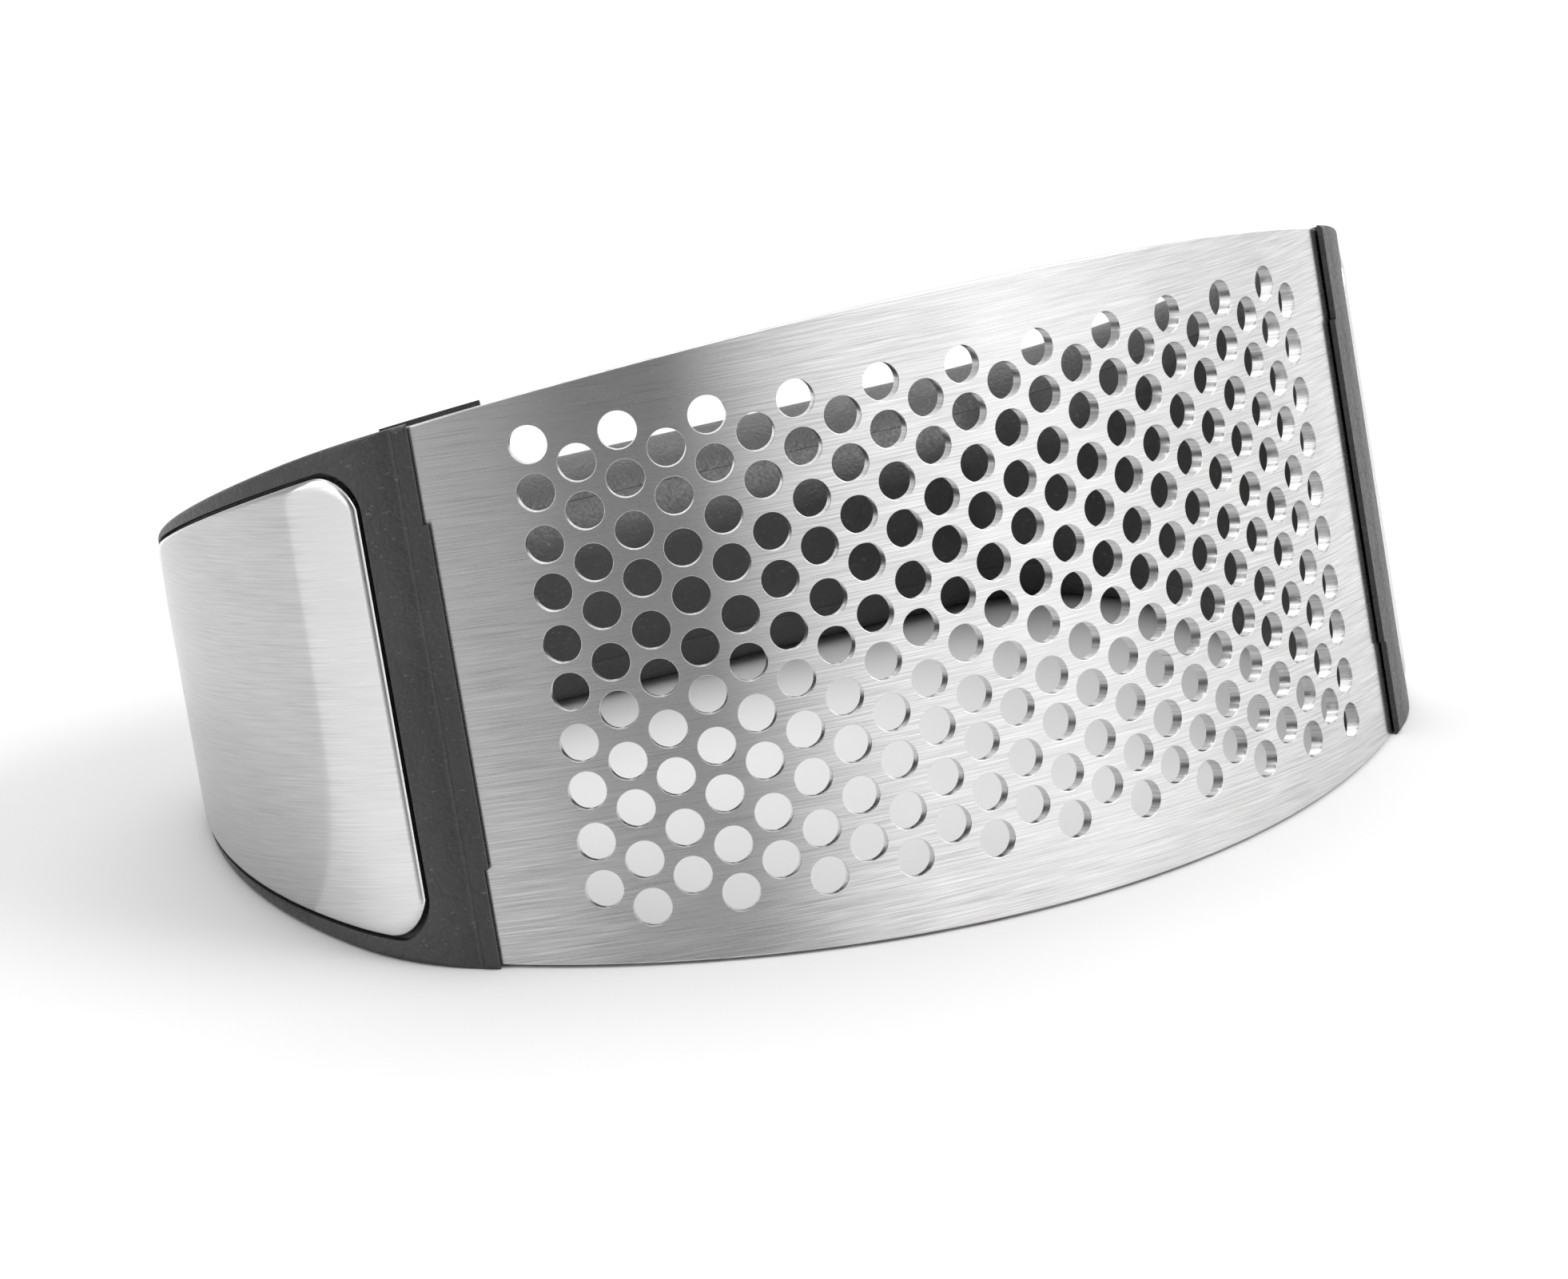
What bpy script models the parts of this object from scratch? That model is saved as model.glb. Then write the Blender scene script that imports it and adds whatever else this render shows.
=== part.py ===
"""Garlic rocker press: a wedge-shaped ring with a perforated steel plate and a hollow grip.

The ring is drawn in its own frame, in millimetres: +X along the plate's length, +Y from the
plate to the grip, +Z across the ring's width. Its two side faces lean together towards the
grip, and an empty tips the whole ring so that it lies on one of those side faces.
"""
import math

import bmesh
import bpy
from mathutils import Matrix, Vector

MM = 0.001

# Wedge that trims every piece across the ring's width
HALF_WIDTH = 27.45
SIDE_SLOPE = 0.216

# Perforated plate, a strip of a cylinder
PLATE_RADIUS = 69.4
PLATE_THICKNESS = 1.25
COLUMN_STEP = 3.834
COLUMNS = 22
ROW_PITCH = 4.30
ROWS = 10
ROW_SHIFT = 0.17
HOLE_DIAMETER = 3.30
HOLE_SIDES = 8
PLATE_END_ARC = 51.4
PLATE_EDGE_TRIM = 0.30

# Handle frame: outer outline as a start point, a heading and a run of (radius, sweep) arcs
LIP_POINT = (45.77, 16.43)
LIP_HEADING = 36.0
COVER_FRONT_HEADING = 53.4
OUTER_ARCS = [(21.2, 17.4), (21.2, 22.6), (58.7, 36.0), (21.0, 62.0)]
LIP_LAND_ARC = 0.45
LIP_LAND_HALF = 15.0
# Inner outline, from the tip of the tongue behind the plate to the straight grip
TONGUE_TIP_ANGLE = 36.6
TONGUE_THICKNESS = 2.0
TONGUE_SWEEP = 6.5
INNER_ARCS = [(8.0, 42.9), (75.0, 26.0), (10.9, 68.0)]
SLOT_GAP = 0.15
SLOT_END_ANGLE = 42.7
EDGE_CHAMFER = 0.6

# Steel band let into the outside of the frame
COVER_THICKNESS = 0.60
COVER_PROUD = 0.25
COVER_FRONT_Y = 20.85
COVER_HALF = 24.70
COVER_SLOPE = 0.187
COVER_KNEE_Y = 60.0
COVER_BACK_SLOPE = 0.222
COVER_CORNER = (3.9, 4.9)
RECESS_DEPTH = 0.75
RECESS_MARGIN = 0.20
RECESS_CORNER = (3.0, 3.8)
FILM_THICKNESS = 0.20
FILM_GAP = 0.10
FILM_INSET = 1.2

# Hollow grip and the liner that closes it from inside the ring
OUTER_WALL = 2.0
SIDE_WALL = 5.0
LINER_THICKNESS = 2.0
LINER_GAP = 0.15
HOLLOW_FRONT_Y = 29.0

# Self-tapping screws, placed by the outline's heading in degrees
SCREW_HEADINGS = [89.0, 106.0, 177.0]
SCREW_HEAD_RADIUS = 1.90
SCREW_HEAD_HEIGHT = 0.90
SCREW_SHANK_RADIUS = 1.00
SCREW_LONGEST = 8.0
SCREW_SIDES = 16
RECESS_CROSS = (0.45, 2.2, 0.45)
BOSS_RADIUS = 2.60
PILOT_GAP = 0.05
CLEARANCE_RADIUS = 1.25
COUNTERBORE_RADIUS = 2.15
COUNTERBORE_DEPTH = 1.10

STEP_DEGREES = 4.0
LEAN = math.atan(SIDE_SLOPE)


def clear_scene():
    for obj in list(bpy.data.objects):
        bpy.data.objects.remove(obj, do_unlink=True)


def collection(name):
    group = bpy.data.collections.new(name)
    bpy.context.scene.collection.children.link(group)
    return group


def walk(point, heading, arcs):
    """Points and headings along tangent arcs, each arc given as (radius, sweep in degrees)."""
    x, y = point
    stations = [(x, y, heading)]
    for radius, sweep in arcs:
        count = max(1, round(sweep / STEP_DEGREES))
        centre_x = x - radius * math.sin(math.radians(heading))
        centre_y = y + radius * math.cos(math.radians(heading))
        for i in range(1, count + 1):
            turned = heading + sweep * i / count
            px = centre_x + radius * math.sin(math.radians(turned))
            py = centre_y - radius * math.cos(math.radians(turned))
            stations.append((px, py, turned))
        x, y, heading = stations[-1]
    return stations


def outer_stations():
    """Right half of the outer outline, from the lip over the plate to the grip's middle."""
    half = walk(LIP_POINT, LIP_HEADING, OUTER_ARCS)
    x, y, heading = half[-1]
    crown = x / math.sin(math.radians(180.0 - heading))
    half += walk((x, y), heading, [(crown, 180.0 - heading)])[1:]
    return half


def inner_stations():
    """Right half of the inner outline, from the tongue's tip to the grip's middle."""
    radius = PLATE_RADIUS - PLATE_THICKNESS - SLOT_GAP - TONGUE_THICKNESS
    angle = math.radians(TONGUE_TIP_ANGLE)
    start = (radius * math.sin(angle), PLATE_RADIUS - radius * math.cos(angle))
    half = walk(start, TONGUE_TIP_ANGLE, [(radius, TONGUE_SWEEP)] + INNER_ARCS)
    half.append((0.0, half[-1][1], 180.0))
    return half


def offset(stations, distance):
    """Stations moved outwards, away from the middle of the ring."""
    moved = []
    for x, y, heading in stations:
        turn = math.radians(heading)
        moved.append((x + distance * math.sin(turn), y - distance * math.cos(turn), heading))
    return moved


def both_sides(stations):
    """Right half followed by its mirror image, without repeating the middle point."""
    points = [(x, y) for x, y, heading in stations]
    return points + [(-x, y) for x, y in reversed(points) if abs(x) > 1e-6]


def prism(name, points, low, high, group, placement=Matrix.Identity(4)):
    """Closed solid: a flat outline drawn in XY, filled and extruded along Z."""
    curve = bpy.data.curves.new(name + "_outline", "CURVE")
    curve.dimensions = "2D"
    curve.fill_mode = "BOTH"
    curve.extrude = 0.5 * (high - low) * MM
    spline = curve.splines.new("POLY")
    spline.points.add(len(points) - 1)
    for i, (x, y) in enumerate(points):
        spline.points[i].co = (x * MM, y * MM, 0.0, 1.0)
    spline.use_cyclic_u = True
    drawn = bpy.data.objects.new(name + "_outline", curve)
    bpy.context.scene.collection.objects.link(drawn)
    bpy.context.view_layer.update()
    graph = bpy.context.evaluated_depsgraph_get()
    mesh = bpy.data.meshes.new_from_object(drawn.evaluated_get(graph))
    bpy.data.objects.remove(drawn, do_unlink=True)
    bpy.data.curves.remove(curve)
    mesh.name = name
    mesh.materials.clear()
    bm = bmesh.new()
    bm.from_mesh(mesh)
    bmesh.ops.remove_doubles(bm, verts=bm.verts, dist=1e-6)
    flat = math.radians(0.05)
    bmesh.ops.dissolve_limit(bm, angle_limit=flat, verts=bm.verts, edges=bm.edges)
    bmesh.ops.translate(bm, vec=(0.0, 0.0, 0.5 * (high + low) * MM), verts=bm.verts)
    bmesh.ops.transform(bm, matrix=placement, verts=bm.verts)
    bmesh.ops.recalc_face_normals(bm, faces=bm.faces)
    bm.to_mesh(mesh)
    bm.free()
    obj = bpy.data.objects.new(name, mesh)
    group.objects.link(obj)
    return obj


# Turns an outline drawn as (Y, Z) into a prism that runs along X
ALONG_X = Matrix(((0, 0, 1, 0), (1, 0, 0, 0), (0, 1, 0, 0), (0, 0, 0, 1)))


def wedge(name, half, slope, start, group):
    """Trimming solid along X whose half width shrinks with Y."""
    far = 100.0
    upper = [(far, half - slope * far), (start, half - slope * start)]
    outline = upper + [(y, -z) for y, z in reversed(upper)]
    return prism(name, outline, -80.0, 80.0, group, ALONG_X)


def cover_edge(name, inset, corner, group):
    """Trimming solid for the cover's outline: round front corners and a knee near the grip."""
    far = 100.0
    reach, rise = corner
    front = COVER_FRONT_Y + inset
    half = COVER_HALF - inset
    knee = half - COVER_SLOPE * COVER_KNEE_Y
    upper = [(far, knee - COVER_BACK_SLOPE * (far - COVER_KNEE_Y)), (COVER_KNEE_Y, knee)]
    for i in range(6):
        turn = math.radians(18.0 * i)
        y = front + reach * (1.0 - math.sin(turn))
        corner_half = half - COVER_SLOPE * (front + reach)
        upper.append((y, corner_half - rise * (1.0 - math.cos(turn))))
    outline = upper + [(y, -z) for y, z in reversed(upper)]
    return prism(name, outline, -80.0, 80.0, group, ALONG_X)


def rod(bm, radius, low, high, sides, placement):
    """Cylinder between two heights, added to bm."""
    made = bmesh.ops.create_cone(
        bm, cap_ends=True, segments=sides, radius1=radius * MM, radius2=radius * MM,
        depth=(high - low) * MM)
    bmesh.ops.translate(bm, vec=(0.0, 0.0, 0.5 * (high + low) * MM), verts=made["verts"])
    bmesh.ops.transform(bm, matrix=placement, verts=made["verts"])
    return made["verts"]


def block(bm, outline, low, high, placement):
    """Small prism between two heights, added to bm."""
    base = bm.faces.new([bm.verts.new((x * MM, y * MM, low * MM)) for x, y in outline])
    raised = bmesh.ops.extrude_face_region(bm, geom=[base])["geom"]
    top = [item for item in raised if isinstance(item, bmesh.types.BMVert)]
    bmesh.ops.translate(bm, vec=(0.0, 0.0, (high - low) * MM), verts=top)
    bmesh.ops.transform(bm, matrix=placement, verts=list(base.verts) + top)


def solid(name, bm, group):
    mesh = bpy.data.meshes.new(name)
    bmesh.ops.recalc_face_normals(bm, faces=bm.faces)
    bm.to_mesh(mesh)
    bm.free()
    obj = bpy.data.objects.new(name, mesh)
    group.objects.link(obj)
    return obj


def boolean(obj, cutter, operation):
    modifier = obj.modifiers.new(operation.lower() + " " + cutter.name, "BOOLEAN")
    modifier.operation = operation
    modifier.solver = "EXACT"
    modifier.object = cutter
    cutter.hide_render = True
    cutter.display_type = "WIRE"


def arc_points(radius, half_arc, cuts):
    """Points on the plate's cylinder between two arc lengths either side of the middle."""
    points = []
    for arc in cuts:
        if abs(arc) <= half_arc + 1e-9:
            turn = arc / PLATE_RADIUS
            points.append((radius * math.sin(turn), PLATE_RADIUS - radius * math.cos(turn)))
    return points


def plate_cuts(half_arc):
    """Arc lengths at the plate's ends and midway between neighbouring columns of holes."""
    inner = [(i - COLUMNS / 2) * COLUMN_STEP for i in range(COLUMNS + 1)]
    return [-half_arc, -half_arc + 3.0] + inner + [half_arc - 3.0, half_arc]


def make_plate(parts, cutters):
    cuts = plate_cuts(PLATE_END_ARC)
    outside = arc_points(PLATE_RADIUS, PLATE_END_ARC, cuts)
    inside = arc_points(PLATE_RADIUS - PLATE_THICKNESS, PLATE_END_ARC, cuts)
    outline = outside + list(reversed(inside))
    plate = prism("perforated_plate", outline, -30.0, 30.0, parts)
    trim = wedge("plate_trim", HALF_WIDTH - PLATE_EDGE_TRIM, SIDE_SLOPE, -5.0, cutters)
    boolean(plate, trim, "INTERSECT")
    bm = bmesh.new()
    for column in range(COLUMNS):
        turn = (column - (COLUMNS - 1) / 2) * COLUMN_STEP / PLATE_RADIUS
        for row in range(ROWS):
            if column % 2 == 0:
                z = ((ROWS - 1) / 2 + 0.25 - row) * ROW_PITCH
            else:
                z = ((ROWS - 1) / 2 - 0.25 - row) * ROW_PITCH
            if row % 2 == 1:
                z += ROW_SHIFT
            spin = Matrix.Rotation(turn, 4, "Z")
            place = Matrix.Translation(Vector((0.0, PLATE_RADIUS, z)) * MM) @ spin
            place = place @ Matrix.Translation(Vector((0.0, -PLATE_RADIUS, 0.0)) * MM)
            place = place @ Matrix.Rotation(math.radians(90.0), 4, "X")
            rod(bm, 0.5 * HOLE_DIAMETER, -3.0, 2.0, HOLE_SIDES, place)
    holes = solid("plate_holes", bm, cutters)
    boolean(plate, holes, "DIFFERENCE")
    return plate


def slot_stations():
    """Right half of the plate's slot, from the tongue's tip round the slot to the lip."""
    behind = PLATE_RADIUS - PLATE_THICKNESS - SLOT_GAP
    ahead = PLATE_RADIUS + SLOT_GAP
    lip_angle = math.degrees(math.atan2(LIP_POINT[0], PLATE_RADIUS - LIP_POINT[1]))
    points = []
    for i in range(4):
        angle = TONGUE_TIP_ANGLE + (SLOT_END_ANGLE - TONGUE_TIP_ANGLE) * i / 3
        points.append((behind, angle))
    points.append((ahead, SLOT_END_ANGLE))
    points.append((ahead, lip_angle))
    stations = []
    for radius, angle in points:
        turn = math.radians(angle)
        x = radius * math.sin(turn)
        stations.append((x, PLATE_RADIUS - radius * math.cos(turn), angle))
    return stations


def round_side_edges(frame):
    """Bevel only the long edges where the two side faces meet the inner and outer walls."""
    bm = bmesh.new()
    bm.from_mesh(frame.data)
    weights = bm.edges.layers.float.new("bevel_weight_edge")
    lip_x = LIP_POINT[0] * MM
    for edge in bm.edges:
        if len(edge.link_faces) != 2:
            continue
        first, second = edge.link_faces
        tilt = [abs(face.normal.z) > 0.5 for face in (first, second)]
        near_slot = max(v.co.y for v in edge.verts) < 20.0 * MM
        inboard = min(abs(v.co.x) for v in edge.verts) < lip_x + 2.0 * MM
        if tilt[0] != tilt[1] and not (near_slot and inboard):
            edge[weights] = 1.0
    bm.to_mesh(frame.data)
    bm.free()
    modifier = frame.modifiers.new("edge chamfer", "BEVEL")
    modifier.width = EDGE_CHAMFER * MM
    modifier.segments = 1
    modifier.limit_method = "WEIGHT"
    modifier.use_clamp_overlap = False


def fix_shape(obj):
    """Bake the modifiers so far into the object's own mesh."""
    bpy.context.view_layer.update()
    graph = bpy.context.evaluated_depsgraph_get()
    baked = bpy.data.meshes.new_from_object(obj.evaluated_get(graph))
    obj.modifiers.clear()
    obj.data = baked


def band(name, stations, outer, inner, group):
    """Strip that follows the outline on both sides of the ring, between two offsets."""
    outside = both_sides(offset(stations, outer))
    inside = both_sides(offset(stations, inner))
    return prism(name, outside + list(reversed(inside)), -30.0, 30.0, group)


def lip_lands(cutters):
    """Slightly longer middle part of each lip, as two small blocks in one object."""
    inside = PLATE_RADIUS + SLOT_GAP
    outside = math.hypot(LIP_POINT[0], PLATE_RADIUS - LIP_POINT[1])
    root = math.atan2(LIP_POINT[0], PLATE_RADIUS - LIP_POINT[1])
    start = root - LIP_LAND_ARC / outside
    end = root + 0.006
    bm = bmesh.new()
    for side in (1.0, -1.0):
        outline = []
        for radius, turn in ((inside, start), (outside, start), (outside, end), (inside, end)):
            x = side * radius * math.sin(turn)
            outline.append((x, PLATE_RADIUS - radius * math.cos(turn)))
        block(bm, outline, -LIP_LAND_HALF, LIP_LAND_HALF, Matrix.Identity(4))
    return solid("lip_lands", bm, cutters)


def make_frame(parts, cutters):
    plan = both_sides(slot_stations() + outer_stations())
    plan += list(reversed(both_sides(inner_stations())))
    frame = prism("handle_frame", plan, -30.0, 30.0, parts)
    trim = wedge("frame_trim", HALF_WIDTH, SIDE_SLOPE, -5.0, cutters)
    boolean(frame, trim, "INTERSECT")
    fix_shape(frame)
    round_side_edges(frame)
    boolean(frame, lip_lands(cutters), "UNION")

    hollow_line = [s for s in outer_stations() if s[1] > HOLLOW_FRONT_Y - 4.0]
    opening = [s for s in inner_stations() if s[1] > HOLLOW_FRONT_Y - 4.0]
    floor = both_sides(offset(hollow_line, -RECESS_DEPTH - OUTER_WALL))
    mouth = both_sides(offset(opening, -1.0))
    hollow = prism("hollow", floor + list(reversed(mouth)), -30.0, 30.0, cutters)
    half = HALF_WIDTH - SIDE_WALL
    limit = wedge("hollow_limit", half, SIDE_SLOPE, HOLLOW_FRONT_Y, cutters)
    boolean(hollow, limit, "INTERSECT")
    boolean(frame, hollow, "DIFFERENCE")

    covered = [s for s in outer_stations() if s[2] > 43.0]
    recess = band("cover_recess", covered, 3.0, -RECESS_DEPTH, cutters)
    edge = cover_edge("recess_edge", -RECESS_MARGIN, RECESS_CORNER, cutters)
    boolean(recess, edge, "INTERSECT")
    boolean(frame, recess, "DIFFERENCE")
    return frame


def make_cover(parts, cutters):
    covered = [s for s in outer_stations() if s[2] > COVER_FRONT_HEADING - 0.1]
    cover = band("handle_cover", covered, COVER_PROUD, COVER_PROUD - COVER_THICKNESS, parts)
    edge = cover_edge("cover_edge", 0.0, COVER_CORNER, cutters)
    boolean(cover, edge, "INTERSECT")
    top = COVER_PROUD - COVER_THICKNESS - FILM_GAP
    film = band("cover_adhesive_film", covered, top, top - FILM_THICKNESS, parts)
    edge = cover_edge("film_edge", FILM_INSET, COVER_CORNER, cutters)
    boolean(film, edge, "INTERSECT")
    return cover, film


def station_at(heading):
    """Exact point of the outer outline, on the right side, where it has this heading."""
    point = LIP_POINT
    turned = LIP_HEADING
    for radius, sweep in OUTER_ARCS:
        part = min(sweep, heading - turned)
        x, y, turned_now = walk(point, turned, [(radius, part)])[-1]
        point = (x, y)
        turned = turned_now
        if turned >= heading - 1e-9:
            return (point[0], point[1], heading)
    slope = math.radians(180.0 - turned)
    crown = point[0] / math.sin(slope)
    x, y, turned = walk(point, turned, [(crown, heading - turned)])[-1]
    return (x, y, heading)


def wall_depth(station):
    """Distance from the outer outline straight in to the inner outline."""
    x, y, heading = station
    turn = math.radians(heading)
    along = (-math.sin(turn), math.cos(turn))
    inner = both_sides(inner_stations())
    best = None
    for (ax, ay), (bx, by) in zip(inner[:-1], inner[1:]):
        det = along[0] * (ay - by) - along[1] * (ax - bx)
        if abs(det) < 1e-9:
            continue
        reach = ((ax - x) * (ay - by) - (ay - y) * (ax - bx)) / det
        share = (along[0] * (ay - y) - along[1] * (ax - x)) / det
        if reach > 0.0 and -1e-9 <= share <= 1.0 + 1e-9 and (best is None or reach < best):
            best = reach
    return best


def screw_places():
    """Name, matrix and wall depth of each screw. A screw's own +Z points into the wall."""
    places = []
    for side, word in ((1.0, "right"), (-1.0, "left")):
        for heading, spot in zip(SCREW_HEADINGS, ("front", "middle", "back")):
            x, y, turned = station_at(heading)
            turn = math.radians(turned)
            inward = Vector((-side * math.sin(turn), math.cos(turn), 0.0))
            up = Vector((0.0, 0.0, 1.0))
            across = up.cross(inward)
            matrix = Matrix((across, up, inward)).transposed().to_4x4()
            matrix.translation = Vector((side * x, y, 0.0)) * MM
            places.append((f"liner_screw_{word}_{spot}", matrix, wall_depth((x, y, turned))))
    return places


def shank_end(depth):
    head_foot = RECESS_DEPTH + FILM_GAP + SCREW_HEAD_HEIGHT
    return min(depth - 0.7, head_foot + SCREW_LONGEST)


def make_liner(parts, cutters):
    lined = [s for s in inner_stations() if s[1] > HOLLOW_FRONT_Y - 4.0]
    liner = band("grip_liner", lined, LINER_THICKNESS, 0.0, parts)
    edge = wedge("liner_edge", HALF_WIDTH - SIDE_WALL - LINER_GAP, SIDE_SLOPE,
                 HOLLOW_FRONT_Y + LINER_GAP, cutters)
    boolean(liner, edge, "INTERSECT")
    bosses = bmesh.new()
    pilots = bmesh.new()
    for name, place, depth in screw_places():
        floor = RECESS_DEPTH + OUTER_WALL + LINER_GAP
        rod(bosses, BOSS_RADIUS, floor, depth - 1.0, SCREW_SIDES, place)
        low = floor - 1.0
        high = shank_end(depth) + 0.15
        rod(pilots, SCREW_SHANK_RADIUS + PILOT_GAP, low, high, SCREW_SIDES, place)
    boolean(liner, solid("liner_bosses", bosses, cutters), "UNION")
    boolean(liner, solid("pilot_holes", pilots, cutters), "DIFFERENCE")
    return liner


def make_screws(frame, parts, cutters):
    holes = bmesh.new()
    sinks = bmesh.new()
    screws = []
    cross = bmesh.new()
    wide, long, deep = RECESS_CROSS
    for name, place, depth in screw_places():
        head_top = RECESS_DEPTH + FILM_GAP
        head_foot = head_top + SCREW_HEAD_HEIGHT
        rod(holes, CLEARANCE_RADIUS, -1.0, RECESS_DEPTH + OUTER_WALL + 0.5, 20, place)
        rod(sinks, COUNTERBORE_RADIUS, -1.0, RECESS_DEPTH + COUNTERBORE_DEPTH, 20, place)
        end = shank_end(depth)
        radius = SCREW_SHANK_RADIUS
        profile = [
            (0.0, head_top), (SCREW_HEAD_RADIUS - 0.2, head_top),
            (SCREW_HEAD_RADIUS, head_top + 0.2), (SCREW_HEAD_RADIUS, head_foot),
            (radius, head_foot), (radius, end - 0.5), (0.4, end), (0.0, end)]
        mesh = bpy.data.meshes.new(name)
        line = bmesh.new()
        verts = [line.verts.new((r * MM, 0.0, z * MM)) for r, z in profile]
        for a, b in zip(verts[:-1], verts[1:]):
            line.edges.new((a, b))
        line.to_mesh(mesh)
        line.free()
        screw = bpy.data.objects.new(name, mesh)
        parts.objects.link(screw)
        screw.matrix_basis = place
        turned = screw.modifiers.new("turned profile", "SCREW")
        turned.angle = math.radians(360.0)
        turned.steps = SCREW_SIDES
        turned.render_steps = SCREW_SIDES
        turned.use_merge_vertices = True
        turned.merge_threshold = 1e-6
        turned.use_normal_calculate = True
        arm, tip = 0.5 * wide, 0.5 * long
        quarter = [(arm, arm), (arm, tip), (-arm, tip)]
        outline = []
        for i in range(4):
            turn = Matrix.Rotation(math.radians(90.0 * i), 2)
            outline += [tuple(turn @ Vector(point)) for point in quarter]
        block(cross, outline, head_top - deep, head_top + deep, place)
        screws.append(screw)
    driver = solid("screw_driver_slots", cross, cutters)
    for screw in screws:
        boolean(screw, driver, "DIFFERENCE")
    boolean(frame, solid("screw_holes", holes, cutters), "DIFFERENCE")
    boolean(frame, solid("counterbores", sinks, cutters), "DIFFERENCE")
    return screws


def material(name, colour, roughness, metallic):
    made = bpy.data.materials.new(name)
    made.use_nodes = True
    shader = made.node_tree.nodes["Principled BSDF"]
    shader.inputs["Base Color"].default_value = (*colour, 1.0)
    shader.inputs["Roughness"].default_value = roughness
    shader.inputs["Metallic"].default_value = metallic
    return made


def paint(obj, colour, roughness, metallic):
    obj.data.materials.clear()
    obj.data.materials.append(material(obj.name + "_material", colour, roughness, metallic))


def lay_down(objects):
    """Tip the ring onto a side face and put the middle of its footprint at the origin."""
    ring = bpy.data.objects.new("ring_frame", None)
    bpy.context.scene.collection.objects.link(ring)
    for obj in objects:
        obj.parent = ring
    ring.rotation_euler = (-LEAN, 0.0, 0.0)
    bpy.context.view_layer.update()
    graph = bpy.context.evaluated_depsgraph_get()
    low = [1e9, 1e9, 1e9]
    high = [-1e9, -1e9, -1e9]
    for obj in objects:
        if obj.hide_render:
            continue
        shown = obj.evaluated_get(graph)
        for vertex in shown.data.vertices:
            at = shown.matrix_world @ vertex.co
            for axis in range(3):
                low[axis] = min(low[axis], at[axis])
                high[axis] = max(high[axis], at[axis])
    ring.location = (-0.5 * (low[0] + high[0]), -0.5 * (low[1] + high[1]), -low[2])
    bpy.context.view_layer.update()


def main():
    clear_scene()
    parts = collection("garlic_press")
    cutters = collection("garlic_press_cutters")
    plate = make_plate(parts, cutters)
    frame = make_frame(parts, cutters)
    cover, film = make_cover(parts, cutters)
    liner = make_liner(parts, cutters)
    screws = make_screws(frame, parts, cutters)
    paint(plate, (0.62, 0.61, 0.60), 0.32, 1.0)
    paint(frame, (0.055, 0.055, 0.058), 0.62, 0.0)
    paint(liner, (0.050, 0.050, 0.053), 0.66, 0.0)
    paint(cover, (0.66, 0.65, 0.64), 0.28, 1.0)
    paint(film, (0.75, 0.73, 0.68), 0.55, 0.0)
    for screw in screws:
        paint(screw, (0.50, 0.49, 0.47), 0.35, 1.0)
    for obj in list(parts.objects) + list(cutters.objects):
        for polygon in obj.data.polygons:
            polygon.use_smooth = False
    lay_down(list(parts.objects) + list(cutters.objects))


main()
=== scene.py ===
"""Garlic rocker press: a punched steel plate in a black ring-shaped handle with a steel band.

Every piece is drawn in the ring's own frame, in millimetres: +X along the plate's length, +Y
from the plate to the grip and +Z across the ring's width. ring_to_world() lays it on its side.
"""
import math

import bmesh
import bpy
import numpy as np
from mathutils import Matrix, Vector


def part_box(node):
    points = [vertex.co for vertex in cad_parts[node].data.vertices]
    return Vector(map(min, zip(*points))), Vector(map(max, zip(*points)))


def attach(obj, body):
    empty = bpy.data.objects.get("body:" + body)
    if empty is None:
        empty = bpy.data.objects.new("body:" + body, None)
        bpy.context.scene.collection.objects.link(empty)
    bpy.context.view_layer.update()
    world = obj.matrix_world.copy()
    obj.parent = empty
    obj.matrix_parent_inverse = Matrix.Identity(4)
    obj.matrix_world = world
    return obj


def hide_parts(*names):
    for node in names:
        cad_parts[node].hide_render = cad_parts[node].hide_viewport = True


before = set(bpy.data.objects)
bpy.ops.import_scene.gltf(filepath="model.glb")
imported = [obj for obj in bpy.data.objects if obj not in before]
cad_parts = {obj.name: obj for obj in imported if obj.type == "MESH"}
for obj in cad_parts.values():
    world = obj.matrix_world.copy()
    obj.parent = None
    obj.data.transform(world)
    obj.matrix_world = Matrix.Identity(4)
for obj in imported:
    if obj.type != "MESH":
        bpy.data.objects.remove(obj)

bl_info = {
    "name": "Garlic Rocker Press",
    "version": (1, 0, 0),
    "blender": (4, 5, 0),
    "location": "View3D > Sidebar > Garlic Press",
    "description": "Builds a ring-shaped garlic press with a punched plate and a banded handle",
    "category": "Object",
}

MM = 0.001
# One UV unit is 100 mm of sheet, with U along the brush lines
UV_PER_MM = 0.01
# Blanks and cutters run this far past the ring: across it, along it, and before the plate
PAST_SIDES = 30.0
PAST_ENDS = 80.0
BEFORE_PLATE = -5.0
FAR_PAST_GRIP = 100.0
# Spacing of the points on the handle's outlines
OUTLINE_STEP = 0.6
LIP_STEP = 0.25
HIDDEN_STEP = 2.0

# Wedge between the ring's two side faces
HALF_WIDTH = 27.45
SIDE_SLOPE = 0.216
LEAN = math.atan(SIDE_SLOPE)

# Punched plate
PLATE_RADIUS = 69.4
PLATE_THICKNESS = 1.25
PLATE_END_ARC = 51.4
PLATE_EDGE_TRIM = 0.30
COLUMNS = 22
ROWS = 10
COLUMN_STEP = 3.834
ROW_PITCH = 4.30
ROW_SHIFT = 0.17

# Outlines of the ring as a start point, a heading in degrees and (radius, sweep) arcs
LIP_POINT = (46.41, 16.92)
LIP_HEADING = 38.16
OUTER_ARCS = [(21.2, 15.24), (21.2, 22.6), (58.7, 36.0), (21.0, 62.0)]
COVER_FRONT_HEADING = 53.4
TONGUE_TIP_ANGLE = 36.6
TONGUE_THICKNESS = 2.0
TONGUE_SWEEP = 6.5
TONGUE_ROOT_ANGLE = 44.0
INNER_ARCS = [(8.0, 42.9), (75.0, 26.0), (10.9, 68.0)]
SLOT_GAP = 0.15
SLOT_END_ANGLE = 42.7
LIP_LAND_ARC = 0.45
LIP_LAND_HALF = 15.0
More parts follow.
